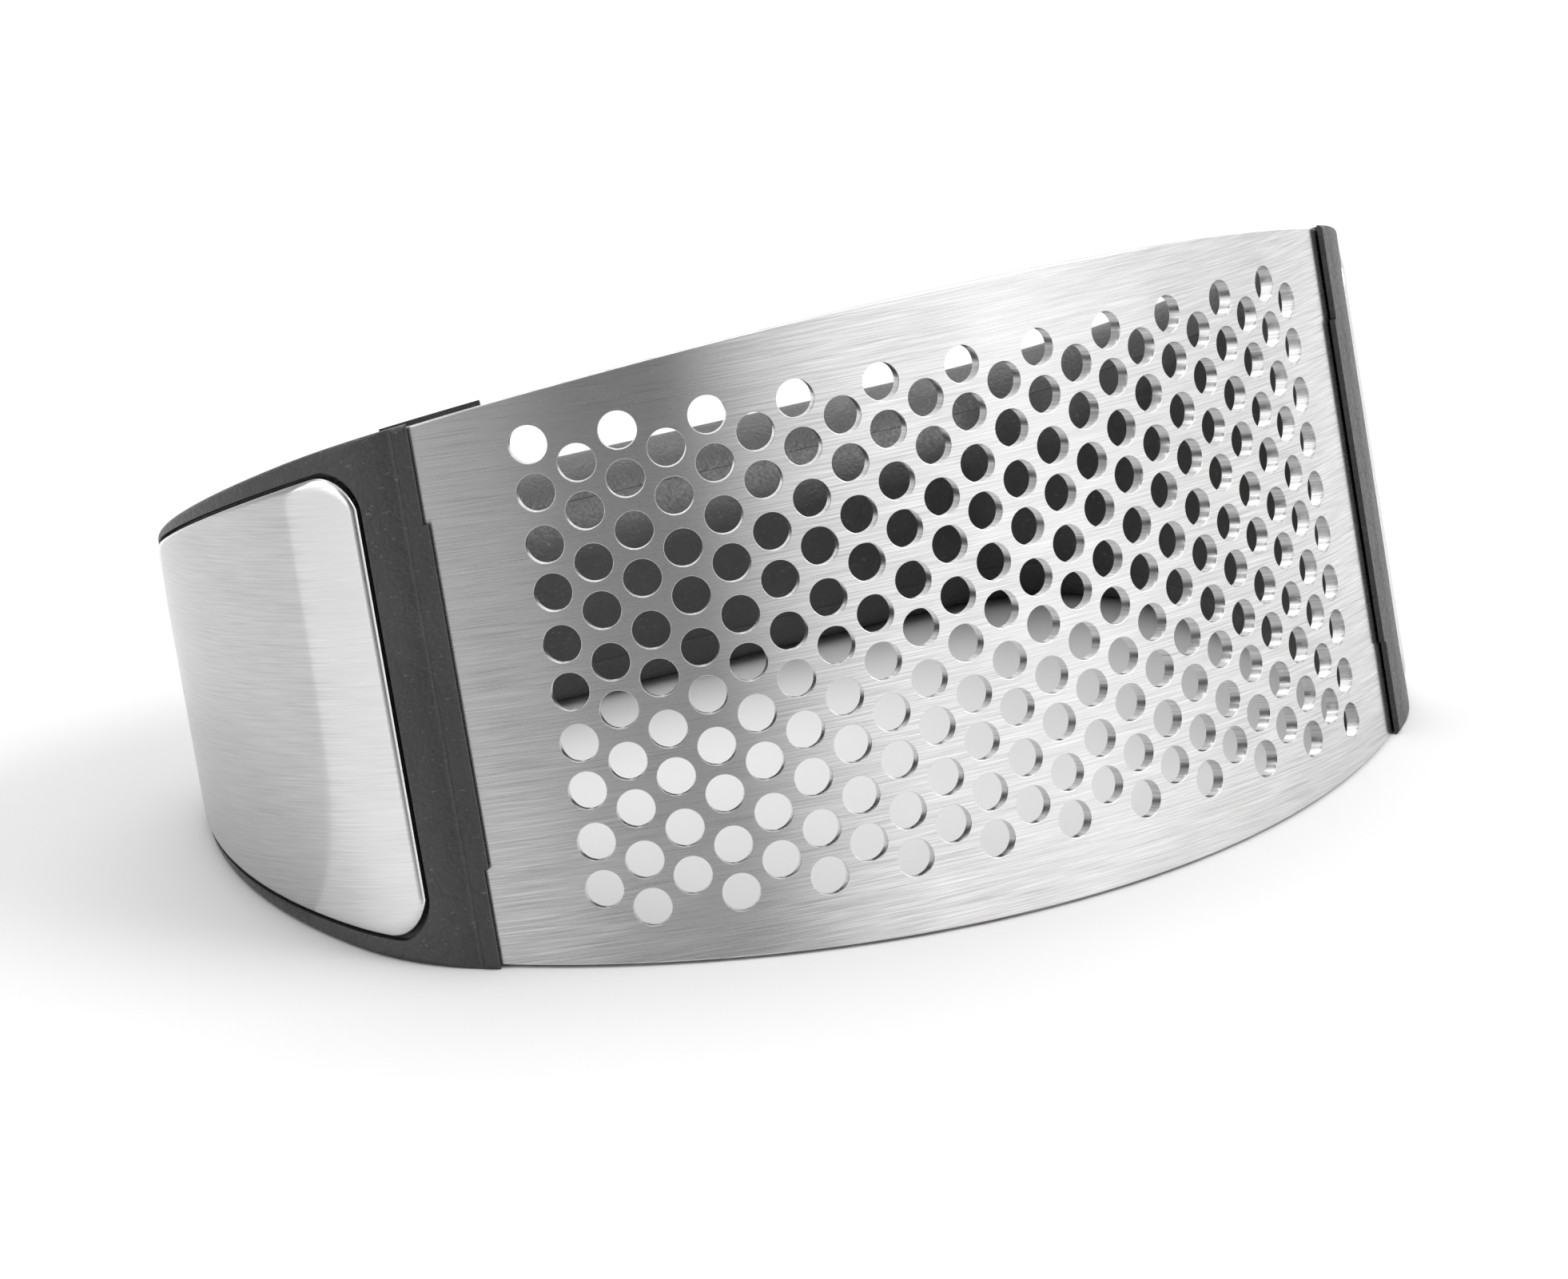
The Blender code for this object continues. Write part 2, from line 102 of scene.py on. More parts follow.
# Shallow groove behind the lip: distance along the outline, and depth
LIP_GROOVE = ((0.0, 0.0), (1.25, 0.0), (1.50, 0.26), (1.75, 0.30), (3.0, 0.14), (5.2, 0.0))
TONGUE_RISE = 0.35

# Steel band
COVER_THICKNESS = 0.60
COVER_PROUD = 0.21
COVER_FRONT_Y = 20.85
COVER_HALF = 24.70
COVER_SLOPE = 0.187
COVER_KNEE_Y = 60.0
COVER_BACK_SLOPE = 0.222
COVER_CORNER = (3.9, 4.9)
RECESS_DEPTH = 0.75
RECESS_MARGIN = 0.20
RECESS_CORNER = (3.0, 3.8)
# How far a rolled edge drops, as a share of its width
ROLL_DROP = 0.72

# Hollow grip and its liner
OUTER_WALL = 2.0
SIDE_WALL = 5.0
LINER_THICKNESS = 2.0
LINER_GAP = 0.04
HOLLOW_FRONT_Y = 29.0
HOLLOW_RUN_IN = 4.0
SCREW_HEADINGS = (89.0, 106.0, 177.0)
CLEARANCE_RADIUS = 1.25
COUNTERBORE_RADIUS = 2.15
COUNTERBORE_DEPTH = 1.10

# Rounding of the handle's long edges: small at the plate, growing from one Y to another.
# The shape is the rounding's height over its width. The growth makes its arc cross both faces.
SMALL_ROUNDING = 0.6
ROUNDING_FROM_Y = 20.0
ROUNDING_FULL_Y = 66.0
ROUNDING_STEPS = 14
ROUNDING_SHAPE = 1.35
ROUNDING_GROWTH = 1.003

# Studio: camera angles are heading, pitch from straight down, and roll, in degrees
CAMERA_ANGLES = (-28.147, 71.077, -3.755)
CAMERA_AIM = (-0.00453, -0.00237, 0.01437)
CAMERA_DISTANCE = 0.57976
CAMERA_LENS = 147.149
FLOOR_HALF_SIZE = 2.0
STUDIO_LIGHTS = (
    ("overhead_softbox", (0.10, 0.45, 0.75), (1.0, 0.6), 3.6),
    ("front_softbox", (0.42, -0.34, 0.50), (0.5, 0.4), 3.2),
)
OVERHEAD_BRIGHTNESS = 0.95
# Grey card that only mirror-like surfaces see: a corner beside the cover, then its far corners
CARD_HEIGHT = 1.0
CARD_TONE = 0.54
GREY_CARD = ((-0.050, -0.010), (-0.547, 0.325), (-0.10, 0.60), (-0.03, 0.06))
# Brightness of the studio's walls by azimuth in degrees, from -Y towards +X
SURROUND = (
    (-180.0, 0.80), (-150.0, 0.50), (-126.0, 0.40), (-122.0, 1.8), (-76.0, 1.70),
    (-62.0, 0.30), (-46.0, 0.24), (-38.0, 0.03), (-20.0, 0.03), (-6.0, 0.90), (8.0, 1.40),
    (34.0, 1.32), (60.0, 1.30), (80.0, 1.25), (108.0, 1.10), (165.0, 1.10), (180.0, 0.80),
)


def ring_to_world():
    """Placement of the ring's own frame, read from where the plate stands."""
    low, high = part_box("perforated_plate")
    front = -(HALF_WIDTH - PLATE_EDGE_TRIM) * MM * math.sin(LEAN)
    rise = HALF_WIDTH * MM * math.cos(LEAN)
    lean = Matrix.Rotation(-LEAN, 4, "X")
    return Matrix.Translation((0.0, low[1] - front, rise)) @ lean


# ---------------------------------------------------------------- outlines


def walk(point, heading, arcs, step):
    """Points and headings along tangent arcs, each arc given as (radius, sweep in degrees)."""
    x, y = point
    stations = [(x, y, heading)]
    for radius, sweep in arcs:
        count = max(1, math.ceil(abs(sweep) * math.radians(1.0) * radius / step))
        centre_x = x - radius * math.sin(math.radians(heading))
        centre_y = y + radius * math.cos(math.radians(heading))
        for i in range(1, count + 1):
            turned = heading + sweep * i / count
            px = centre_x + radius * math.sin(math.radians(turned))
            py = centre_y - radius * math.cos(math.radians(turned))
            stations.append((px, py, turned))
        x, y, heading = stations[-1]
    return stations


def outer_stations(step):
    """Right half of the outer outline, from the lip over the plate to the grip's middle."""
    half = walk(LIP_POINT, LIP_HEADING, OUTER_ARCS, step)
    x, y, heading = half[-1]
    crown = x / math.sin(math.radians(180.0 - heading))
    return half + walk((x, y), heading, [(crown, 180.0 - heading)], 2.0 * step)[1:]


def inner_stations(step):
    """Right half of the inner outline, from the tongue's tip to the grip's middle."""
    radius = PLATE_RADIUS - PLATE_THICKNESS - SLOT_GAP - TONGUE_THICKNESS
    angle = math.radians(TONGUE_TIP_ANGLE)
    start = (radius * math.sin(angle), PLATE_RADIUS - radius * math.cos(angle))
    half = walk(start, TONGUE_TIP_ANGLE, [(radius, TONGUE_SWEEP)] + INNER_ARCS, step)
    x, y, heading = half[-1]
    return half + [(x * share, y, 180.0) for share in (0.75, 0.5, 0.25, 0.0)]


def offset(stations, distance):
    """Stations moved outwards, away from the middle of the ring."""
    moved = []
    for x, y, heading in stations:
        turn = math.radians(heading)
        moved.append((x + distance * math.sin(turn), y - distance * math.cos(turn), heading))
    return moved


def both_sides(stations):
    """Right half followed by its mirror image, without repeating the middle point."""
    points = [(x, y) for x, y, heading in stations]
    return points + [(-x, y) for x, y in reversed(points) if abs(x) > 1e-6]


# ---------------------------------------------------------------- mesh tools


def prism(name, points, low, high, placement=Matrix.Identity(4)):
    """Closed solid: a flat outline drawn in XY, filled and extruded along Z."""
    curve = bpy.data.curves.new(name + "_outline", "CURVE")
    curve.dimensions = "2D"
    curve.fill_mode = "BOTH"
    curve.extrude = 0.5 * (high - low) * MM
    spline = curve.splines.new("POLY")
    spline.points.add(len(points) - 1)
    for i, (x, y) in enumerate(points):
        spline.points[i].co = (x * MM, y * MM, 0.0, 1.0)
    spline.use_cyclic_u = True
    drawn = bpy.data.objects.new(name + "_outline", curve)
    bpy.context.scene.collection.objects.link(drawn)
    bpy.context.view_layer.update()
    graph = bpy.context.evaluated_depsgraph_get()
    mesh = bpy.data.meshes.new_from_object(drawn.evaluated_get(graph))
    bpy.data.objects.remove(drawn, do_unlink=True)
    bpy.data.curves.remove(curve)
    mesh.name = name
    mesh.materials.clear()
    bm = bmesh.new()
    bm.from_mesh(mesh)
    bmesh.ops.remove_doubles(bm, verts=bm.verts, dist=1e-6)
    flat = math.radians(0.02)
    bmesh.ops.dissolve_limit(bm, angle_limit=flat, verts=bm.verts, edges=bm.edges)
    bmesh.ops.translate(bm, vec=(0.0, 0.0, 0.5 * (high + low) * MM), verts=bm.verts)
    bmesh.ops.transform(bm, matrix=placement, verts=bm.verts)
    bmesh.ops.recalc_face_normals(bm, faces=bm.faces)
    bm.to_mesh(mesh)
    bm.free()
    obj = bpy.data.objects.new(name, mesh)
    bpy.context.scene.collection.objects.link(obj)
    return obj


# Turns an outline drawn as (Y, Z) into a prism that runs along X
ALONG_X = Matrix(((0, 0, 1, 0), (1, 0, 0, 0), (0, 1, 0, 0), (0, 0, 0, 1)))


def wedge(name, half, slope, start):
    """Trimming solid along X whose half width shrinks with Y."""
    far = FAR_PAST_GRIP
    upper = [(far, half - slope * far), (start, half - slope * start)]
    outline = upper + [(y, -z) for y, z in reversed(upper)]
    return prism(name, outline, -PAST_ENDS, PAST_ENDS, ALONG_X)


def band(name, stations, outer, inner):
    """Strip that follows the outline on both sides of the ring, between two offsets."""
    outside = both_sides(offset(stations, outer))
    inside = both_sides(offset(stations, inner))
    return prism(name, outside + list(reversed(inside)), -PAST_SIDES, PAST_SIDES)


def rod(bm, radius, low, high, sides, placement):
    """Cylinder between two heights, added to bm."""
    made = bmesh.ops.create_cone(
        bm, cap_ends=True, segments=sides, radius1=radius * MM, radius2=radius * MM,
        depth=(high - low) * MM)
    bmesh.ops.translate(bm, vec=(0.0, 0.0, 0.5 * (high + low) * MM), verts=made["verts"])
    bmesh.ops.transform(bm, matrix=placement, verts=made["verts"])


def block(bm, outline, low, high):
    """Small prism between two heights, added to bm."""
    base = bm.faces.new([bm.verts.new((x * MM, y * MM, low * MM)) for x, y in outline])
    raised = bmesh.ops.extrude_face_region(bm, geom=[base])["geom"]
    top = [item for item in raised if isinstance(item, bmesh.types.BMVert)]
    bmesh.ops.translate(bm, vec=(0.0, 0.0, (high - low) * MM), verts=top)


def solid(name, bm):
    """Object made from bm, with its faces turned outwards; bm is used up."""
    mesh = bpy.data.meshes.new(name)
    bmesh.ops.recalc_face_normals(bm, faces=bm.faces)
    bm.to_mesh(mesh)
    bm.free()
    obj = bpy.data.objects.new(name, mesh)
    bpy.context.scene.collection.objects.link(obj)
    return obj


def bake(obj):
    """Turn the modifiers so far into the object's own mesh."""
    bpy.context.view_layer.update()
    graph = bpy.context.evaluated_depsgraph_get()
    baked = bpy.data.meshes.new_from_object(obj.evaluated_get(graph))
    obj.modifiers.clear()
    obj.data = baked


def carve(obj, cutter, operation):
    """Boolean that is baked at once, after which its cutter is thrown away."""
    modifier = obj.modifiers.new("carve", "BOOLEAN")
    modifier.operation = operation
    modifier.solver = "EXACT"
    modifier.object = cutter
    bake(obj)
    bpy.data.objects.remove(cutter, do_unlink=True)


def finish_surface(obj, sharp_degrees):
    """Smooth shading that keeps flat faces flat and real corners sharp."""
    obj.data.polygons.foreach_set("use_smooth", [True] * len(obj.data.polygons))
    obj.data.set_sharp_from_angle(angle=math.radians(sharp_degrees))
    even = obj.modifiers.new("even shading", "WEIGHTED_NORMAL")
    even.mode = "FACE_AREA"
    even.keep_sharp = True
    bake(obj)


def place(obj, name, material, slot, nodes):
    """Lay a finished piece into the scene in the stead of its CAD nodes."""
    obj.name = name
    obj.data.name = name
    obj.data.materials.clear()
    for one in material if isinstance(material, (list, tuple)) else [material]:
        obj.data.materials.append(one)
    obj.data.transform(ring_to_world())
    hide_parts(*nodes)
    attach(obj, "root")
    return obj


def carrier_mesh(name, points, faces, uvs=None, face_slots=None):
    """Mesh object from a list of points in millimetres, faces and a UV for each point."""
    mesh = bpy.data.meshes.new(name)
    mesh.from_pydata([(x * MM, y * MM, z * MM) for x, y, z in points], [], faces)
    if uvs is not None:
        layer = mesh.uv_layers.new(name="along_and_across")
        loops = np.empty(len(mesh.loops), dtype=np.int32)
        mesh.loops.foreach_get("vertex_index", loops)
        layer.data.foreach_set("uv", np.asarray(uvs, dtype=np.float32)[loops].ravel())
    if face_slots is not None:
        mesh.polygons.foreach_set("material_index", face_slots)
    mesh.validate()
    obj = bpy.data.objects.new(name, mesh)
    bpy.context.scene.collection.objects.link(obj)
    return obj


# ---------------------------------------------------------------- punched plate


class PlateSheet:
    """Both skins of the plate on one grid of arc length and height, with punched holes.

    Grid steps are a tenth of a column step along the plate and a tenth of a row pitch across
    it, so that neighbouring columns, staggered by half a pitch, share their points.
    """

    CELL = 10
    END_STEPS = 10
    EDGE_STEPS = 6
    EDGE_ROUND = 0.12

    def __init__(self, hole_diameter):
        self.radius = 0.5 * hole_diameter
        self.across = ROWS * self.CELL + self.CELL // 2
        self.along = COLUMNS * self.CELL
        self.points = []
        self.uvs = []
        self.faces = []
        self.slots = []
        self.known = {}

    def arc(self, i):
        """Arc length of grid line i; lines outside the holes spread out to the plate's end."""
        half = 0.5 * COLUMNS * COLUMN_STEP
        if i < 0:
            return -half + (PLATE_END_ARC - half) * i / self.END_STEPS
        if i > self.along:
            return half + (PLATE_END_ARC - half) * (i - self.along) / self.END_STEPS
        return (i / self.CELL - 0.5 * COLUMNS) * COLUMN_STEP

    def edge(self, arc):
        """Half width of the plate at this arc length."""
        y = PLATE_RADIUS * (1.0 - math.cos(arc / PLATE_RADIUS))
        return HALF_WIDTH - PLATE_EDGE_TRIM - SIDE_SLOPE * y

    def height(self, i, j):
        """Height of grid row j; rows past the holes spread out to the rounded long edge."""
        top = 0.5 * self.across / self.CELL * ROW_PITCH
        limit = self.edge(self.arc(i)) - self.EDGE_ROUND
        if j < 0:
            return -top + (limit - top) * j / self.EDGE_STEPS
        if j > self.across:
            return top + (limit - top) * (j - self.across) / self.EDGE_STEPS
        return (j / self.CELL) * ROW_PITCH - top

    def point(self, arc, height, depth):
        turn = arc / PLATE_RADIUS
        reach = PLATE_RADIUS - depth
        self.points.append((reach * math.sin(turn), PLATE_RADIUS - reach * math.cos(turn), height))
        self.uvs.append((arc * UV_PER_MM + 0.5, height * UV_PER_MM + 0.5))
        return len(self.points) - 1

    def grid(self, i, j, depth):
        key = (i, j, depth)
        if key not in self.known:
            self.known[key] = self.point(self.arc(i), self.height(i, j), depth)
        return self.known[key]

    def face(self, corners, flip, slot):
        self.faces.append(tuple(reversed(corners)) if flip else tuple(corners))
        self.slots.append(slot)

    def rim(self, i, j):
        """Grid points round the hole cell whose lower left corner is at (i, j)."""
        n = self.CELL
        loop = [(i + k, j) for k in range(n)]
        loop += [(i + n, j + k) for k in range(n)]
        loop += [(i + n - k, j + n) for k in range(n)]
        loop += [(i, j + n - k) for k in range(n)]
        return loop

    def hole(self, i, j, raised):
        """One punched hole: flat skins round it, a rolled entry edge and a broken-out exit."""
        centre_arc = self.arc(i + self.CELL // 2)
        centre_z = self.height(i, j + self.CELL // 2) + (ROW_SHIFT if raised else 0.0)
        loop = self.rim(i, j)
        t = PLATE_THICKNESS
        wall = [(0.035, 0.0), (0.010, 0.010), (0.0, 0.035), (0.0, 0.35 * t), (0.012, 0.7 * t),
                (0.03, t - 0.05), (0.07, t)]
        angles = []
        for a, b in loop:
            angles.append(math.atan2(self.height(a, b) - centre_z, self.arc(a) - centre_arc))
        rings = []
        for extra, depth in wall:
            ring = []
            for angle in angles:
                reach = self.radius + extra
                arc = centre_arc + reach * math.cos(angle)
                ring.append(self.point(arc, centre_z + reach * math.sin(angle), depth))
            rings.append(ring)
        count = len(loop)
        for k in range(count):
            m = (k + 1) % count
            near = [self.grid(*loop[k], 0.0), self.grid(*loop[m], 0.0)]
            self.face((near[0], near[1], rings[0][m], rings[0][k]), False, 0)
            far = [self.grid(*loop[k], t), self.grid(*loop[m], t)]
            self.face((far[0], far[1], rings[-1][m], rings[-1][k]), True, 0)
            for upper, lower in zip(rings[:-1], rings[1:]):
                self.face((upper[k], upper[m], lower[m], lower[k]), False, 1)

    def cells(self):
        """Lower left corners of the hole cells, with whether each sits in a raised row."""
        found = {}
        for column in range(COLUMNS):
            base = self.CELL // 2 if column % 2 == 0 else 0
            for row in range(ROWS):
                j = base + (ROWS - 1 - row) * self.CELL
                found[(column * self.CELL, j)] = row % 2 == 1
        return found

    def build(self):
        cells = self.cells()
        taken = set()
        for i, j in cells:
            for a in range(self.CELL):
                for b in range(self.CELL):
                    taken.add((i + a, j + b))
        columns = range(-self.END_STEPS, self.along + self.END_STEPS)
        rows = range(-self.EDGE_STEPS, self.across + self.EDGE_STEPS)
        for depth, flip in ((0.0, False), (PLATE_THICKNESS, True)):
            for i in columns:
                for j in rows:
                    if (i, j) not in taken:
                        corners = ((i, j), (i + 1, j), (i + 1, j + 1), (i, j + 1))
                        self.face([self.grid(*c, depth) for c in corners], flip, 0)
        for (i, j), raised in cells.items():
            self.hole(i, j, raised)
        self.close_edges()
        return self

    def close_edges(self):
        """Rounded long edges, then one flat face at each end, which sits in the handle's slot."""
        t = PLATE_THICKNESS
        e = self.EDGE_ROUND
        profile = [(0.3 * e, 0.25 * e), (0.0, e), (0.0, t - e), (0.3 * e, t - 0.25 * e)]
        first, last = -self.END_STEPS, self.along + self.END_STEPS
        strips = {}
        for side, j in ((1.0, self.across + self.EDGE_STEPS), (-1.0, -self.EDGE_STEPS)):
            lines = [[self.grid(i, j, 0.0) for i in range(first, last + 1)]]
            for inset, depth in profile:
                line = []
                for i in range(first, last + 1):
                    arc = self.arc(i)
                    line.append(self.point(arc, side * (self.edge(arc) - inset), depth))
                lines.append(line)
            lines.append([self.grid(i, j, t) for i in range(first, last + 1)])
            for upper, lower in zip(lines[:-1], lines[1:]):
                for k in range(last - first):
                    corners = (upper[k], upper[k + 1], lower[k + 1], lower[k])
                    self.face(corners, side < 0.0, 2)
            strips[side] = lines
        rows = range(-self.EDGE_STEPS, self.across + self.EDGE_STEPS + 1)
        for i, k, flip in ((first, 0, False), (last, -1, True)):
            ring = [self.grid(i, j, 0.0) for j in rows]
            ring += [line[k] for line in strips[1.0][1:-1]]
            ring += [self.grid(i, j, t) for j in reversed(rows)]
            ring += [line[k] for line in reversed(strips[-1.0][1:-1])]
            self.face(ring, flip, 2)


def build_plate(hole_diameter):
    sheet = PlateSheet(hole_diameter).build()
    obj = carrier_mesh("punched_plate", sheet.points, sheet.faces, sheet.uvs, sheet.slots)
    obj.data.polygons.foreach_set("use_smooth", [True] * len(obj.data.polygons))
    obj.data.set_sharp_from_angle(angle=math.radians(14.0))
    shade_as_cylinder(obj.data)
    return obj


def shade_as_cylinder(mesh):
    """Give both skins the bent sheet's exact normals; a zero keeps a corner's own normal."""
    normals = np.zeros((len(mesh.loops), 3))
    for face in mesh.polygons:
        if face.material_index != 0:
            continue
        for loop in face.loop_indices:
            x, y, z = mesh.vertices[mesh.loops[loop].vertex_index].co
            outward = Vector((x, y - PLATE_RADIUS * MM, 0.0)).normalized()
            normals[loop] = outward if face.normal.dot(outward) > 0.0 else -outward
    mesh.normals_split_custom_set(normals)


# ---------------------------------------------------------------- steel band


def cover_line(step):
    """Both sides of the outer outline where the steel band lies, with running arc length."""
    half = [s for s in outer_stations(step) if s[2] > COVER_FRONT_HEADING - 0.05]
    mirrored = [(-x, y, 360.0 - heading) for x, y, heading in reversed(half[:-1])]
    line = []
    along = 0.0
    for x, y, heading in half + mirrored:
        if line:
            along += math.hypot(x - line[-1][0], y - line[-1][1])
        line.append((x, y, heading, along))
    return line


def cover_half_height(y, inset):
    """Half width of the band at this Y: straight edges, a knee near the grip, round corners."""
    half = COVER_HALF - inset - COVER_SLOPE * min(y, COVER_KNEE_Y)
    half -= COVER_BACK_SLOPE * max(0.0, y - COVER_KNEE_Y)
    reach, rise = COVER_CORNER
    lag = 1.0 - max(0.0, y - COVER_FRONT_Y - inset) / reach
    if lag > 0.0:
        half -= rise * (1.0 - math.sqrt(max(0.0, 1.0 - lag * lag)))
    return half


def build_cover(roll):
    """Bent band on a grid of stations by rows, its outer skin rolled down along every edge."""
    line = cover_line(0.45)
    first, last = line[0], line[-1]
    points, uvs, faces = [], [], []
    rows = [-1.0, -0.995, -0.985, -0.965, -0.93, -0.88, -0.8]
    rows += [k / 10.0 for k in range(-7, 8)]
    rows += [-r for r in reversed(rows[:7])]
    length = last[3]
    reach = COVER_CORNER[0]
    # A finer run of stations near both ends keeps the round corners and the rolled end smooth
    fine = [reach * 1.6 * (k / 26.0) ** 2 for k in range(27)]
    middle = [s[3] for s in line if fine[-1] + 0.2 < s[3] < length - fine[-1] - 0.2]
    stops = fine + middle + [length - f for f in reversed(fine)]
    table = np.array([s[:4] for s in line])

    def at(along):
        return [np.interp(along, table[:, 3], table[:, k]) for k in range(3)]

    def skin(level, rolled):
        start = len(points)
        for along in stops:
            x, y, heading = at(along)
            turn = math.radians(heading)
            half = max(0.05, cover_half_height(y, 0.0))
            for row in rows:
                z = row * half
                side = half - abs(z)
                end = min(along, length - along)
                edge = side if end > reach else min(side, end)
                lag = max(0.0, 1.0 - edge / roll) if rolled else 0.0
                drop = roll * ROLL_DROP * (1.0 - math.sqrt(max(0.0, 1.0 - lag * lag)))
                out = level - drop
                points.append((x + out * math.sin(turn), y - out * math.cos(turn), z))
                uvs.append((along * UV_PER_MM, z * UV_PER_MM + 0.5))
        return start

    outer = skin(COVER_PROUD, True)
    inner = skin(COVER_PROUD - COVER_THICKNESS, False)
    count = len(rows)
    for i in range(len(stops) - 1):
        for j in range(count - 1):
            a = i * count + j
            quad = (a, a + count, a + count + 1, a + 1)
            faces.append(tuple(outer + v for v in quad))
            faces.append(tuple(inner + v for v in reversed(quad)))
    border = [(i, 0) for i in range(len(stops))]
    border += [(len(stops) - 1, j) for j in range(1, count)]
    border += [(i, count - 1) for i in reversed(range(len(stops) - 1))]
    border += [(0, j) for j in reversed(range(1, count - 1))]
    for (i, j), (m, n) in zip(border, border[1:] + border[:1]):
        a, b = i * count + j, m * count + n
        faces.append((outer + b, outer + a, inner + a, inner + b))
    obj = carrier_mesh("steel_cover", points, faces, uvs)
    finish_surface(obj, 45.0)
    return obj


# ---------------------------------------------------------------- handle, liner and screws


def station_at(heading):
    """Exact point of the outer outline, on the right side, where it has this heading."""
    point = LIP_POINT
    turned = LIP_HEADING
    for radius, sweep in OUTER_ARCS:
        x, y, turned_now = walk(point, turned, [(radius, min(sweep, heading - turned))], 0.5)[-1]
        point = (x, y)
        turned = turned_now
        if turned >= heading - 1e-9:
            return (x, y, heading)
    crown = point[0] / math.sin(math.radians(180.0 - turned))
    return walk(point, turned, [(crown, heading - turned)], 0.5)[-1]


def screw_places():
    """Matrix of each screw hole; its own +Z points from the outside into the wall."""
    places = []
    for side in (1.0, -1.0):
        for heading in SCREW_HEADINGS:
            x, y, turned = station_at(heading)
            turn = math.radians(turned)
            inward = Vector((-side * math.sin(turn), math.cos(turn), 0.0))
            up = Vector((0.0, 0.0, 1.0))
            matrix = Matrix((up.cross(inward), up, inward)).transposed().to_4x4()
            matrix.translation = Vector((side * x, y, 0.0)) * MM
            places.append(matrix)
    return places


def slot_stations():
    """Right half of the plate's slot, from the tongue's tip round the slot to the lip."""
    behind = PLATE_RADIUS - PLATE_THICKNESS - SLOT_GAP
    ahead = PLATE_RADIUS + SLOT_GAP
    lip_angle = math.degrees(math.atan2(LIP_POINT[0], PLATE_RADIUS - LIP_POINT[1]))
    places = []
    for i in range(7):
        places.append((behind, TONGUE_TIP_ANGLE + (SLOT_END_ANGLE - TONGUE_TIP_ANGLE) * i / 6))
    places.append((ahead, SLOT_END_ANGLE))
    places.append((ahead, lip_angle))
    stations = []
    for radius, angle in places:
        turn = math.radians(angle)
        x = radius * math.sin(turn)
        stations.append((x, PLATE_RADIUS - radius * math.cos(turn), angle))
    return stations


def loft(bm, rings):
    """Closed tube through rings of points, added to bm."""
    loops = [[bm.verts.new(Vector(point) * MM) for point in ring] for ring in rings]
    for near, far in zip(loops[:-1], loops[1:]):
        for a, b, c, d in zip(near, near[1:] + near[:1], far[1:] + far[:1], far):
            bm.faces.new((a, b, c, d))
    bm.faces.new(loops[0])
    bm.faces.new(loops[-1])


def rounding_ring(station, side, wide, tall, outward):
    """Corner section between a wall and a side face, outside a quarter ellipse."""
    x, y, heading = station
    section = [(-1.0, -1.0), (-1.0, tall)]
    for i in range(ROUNDING_STEPS + 1):
        turn = math.radians(90.0 * i / ROUNDING_STEPS)
        section.append((wide * (1.0 - ROUNDING_GROWTH * math.cos(turn)),
                        tall * (1.0 - ROUNDING_GROWTH * math.sin(turn))))
    section.append((wide, -1.0))
    turn = math.radians(heading)
    ring = []
    for into, down in section:
        px = x + outward * into * math.sin(turn)
        py = y - outward * into * math.cos(turn)
        ring.append((px, py, side * (HALF_WIDTH - SIDE_SLOPE * py - down)))
    return ring


def grown_radius(y, full):
    """Radius of the inner rounding, which grows from the tongue to the grip."""
    grown = min(1.0, max(0.0, (y - ROUNDING_FROM_Y) / (ROUNDING_FULL_Y - ROUNDING_FROM_Y)))
    return SMALL_ROUNDING + (full - SMALL_ROUNDING) * grown * grown * (3.0 - 2.0 * grown)


def midway(stations):
    """Both sides of an outline, sampled midway between its corners."""
    mirrored = [(-x, y, 360.0 - heading) for x, y, heading in reversed(stations[:-1])]
    line = stations + mirrored
    return [tuple(0.5 * (p + q) for p, q in zip(*pair)) for pair in zip(line[:-1], line[1:])]


def inner_roundings(full, step):
    """Two cutters that round the inner edges, more and more generously towards the grip."""
    line = midway([s for s in inner_stations(step) if s[1] > ROUNDING_FROM_Y])
    bm = bmesh.new()
    for side in (1.0, -1.0):
        rings = []
        for station in line:
            wide = grown_radius(station[1], full)
            rings.append(rounding_ring(station, side, wide, ROUNDING_SHAPE * wide, 1.0))
        loft(bm, rings)
    return solid("inner_roundings", bm)


def outer_roundings(radius, step):
    """Two cutters that round the outer edges by the same small radius all along."""
    line = outer_stations(step)
    x, y, heading = line[0]
    turn = math.radians(heading)
    line = midway([(x - math.cos(turn), y - math.sin(turn), heading)] + line)
    bm = bmesh.new()
    for side in (1.0, -1.0):
        loft(bm, [rounding_ring(s, side, radius, radius, -1.0) for s in line])
    return solid("outer_roundings", bm)


def grooved(stations):
    """Outer outline with the shallow groove that runs behind each lip."""
    reach = [stop for stop, depth in LIP_GROOVE]
    depths = [depth for stop, depth in LIP_GROOVE]
    line = []
    along = 0.0
    for before, (x, y, heading) in zip(stations[:1] + stations, stations):
        along += math.hypot(x - before[0], y - before[1])
        line += offset([(x, y, heading)], -np.interp(along, reach, depths))
    return line


def raised_tongue():
    """Left tongue behind the plate, whose upper edge stands a little higher than the plate's."""
    outside = PLATE_RADIUS - PLATE_THICKNESS - SLOT_GAP
    outline = []
    for radius, first, last in ((outside, TONGUE_TIP_ANGLE - 0.3, TONGUE_ROOT_ANGLE),
                                (outside - TONGUE_THICKNESS, TONGUE_ROOT_ANGLE, TONGUE_TIP_ANGLE)):
        for i in range(9):
            turn = math.radians(first + (last - first) * i / 8)
            x = -radius * math.sin(turn)
            outline.append((x, PLATE_RADIUS - radius * math.cos(turn)))
    bm = bmesh.new()
    block(bm, outline, 0.0, PAST_SIDES)
    tongue = solid("tongue", bm)
    carve(tongue, wedge("tongue_edge", HALF_WIDTH + TONGUE_RISE, SIDE_SLOPE, BEFORE_PLATE), "INTERSECT")
    return tongue


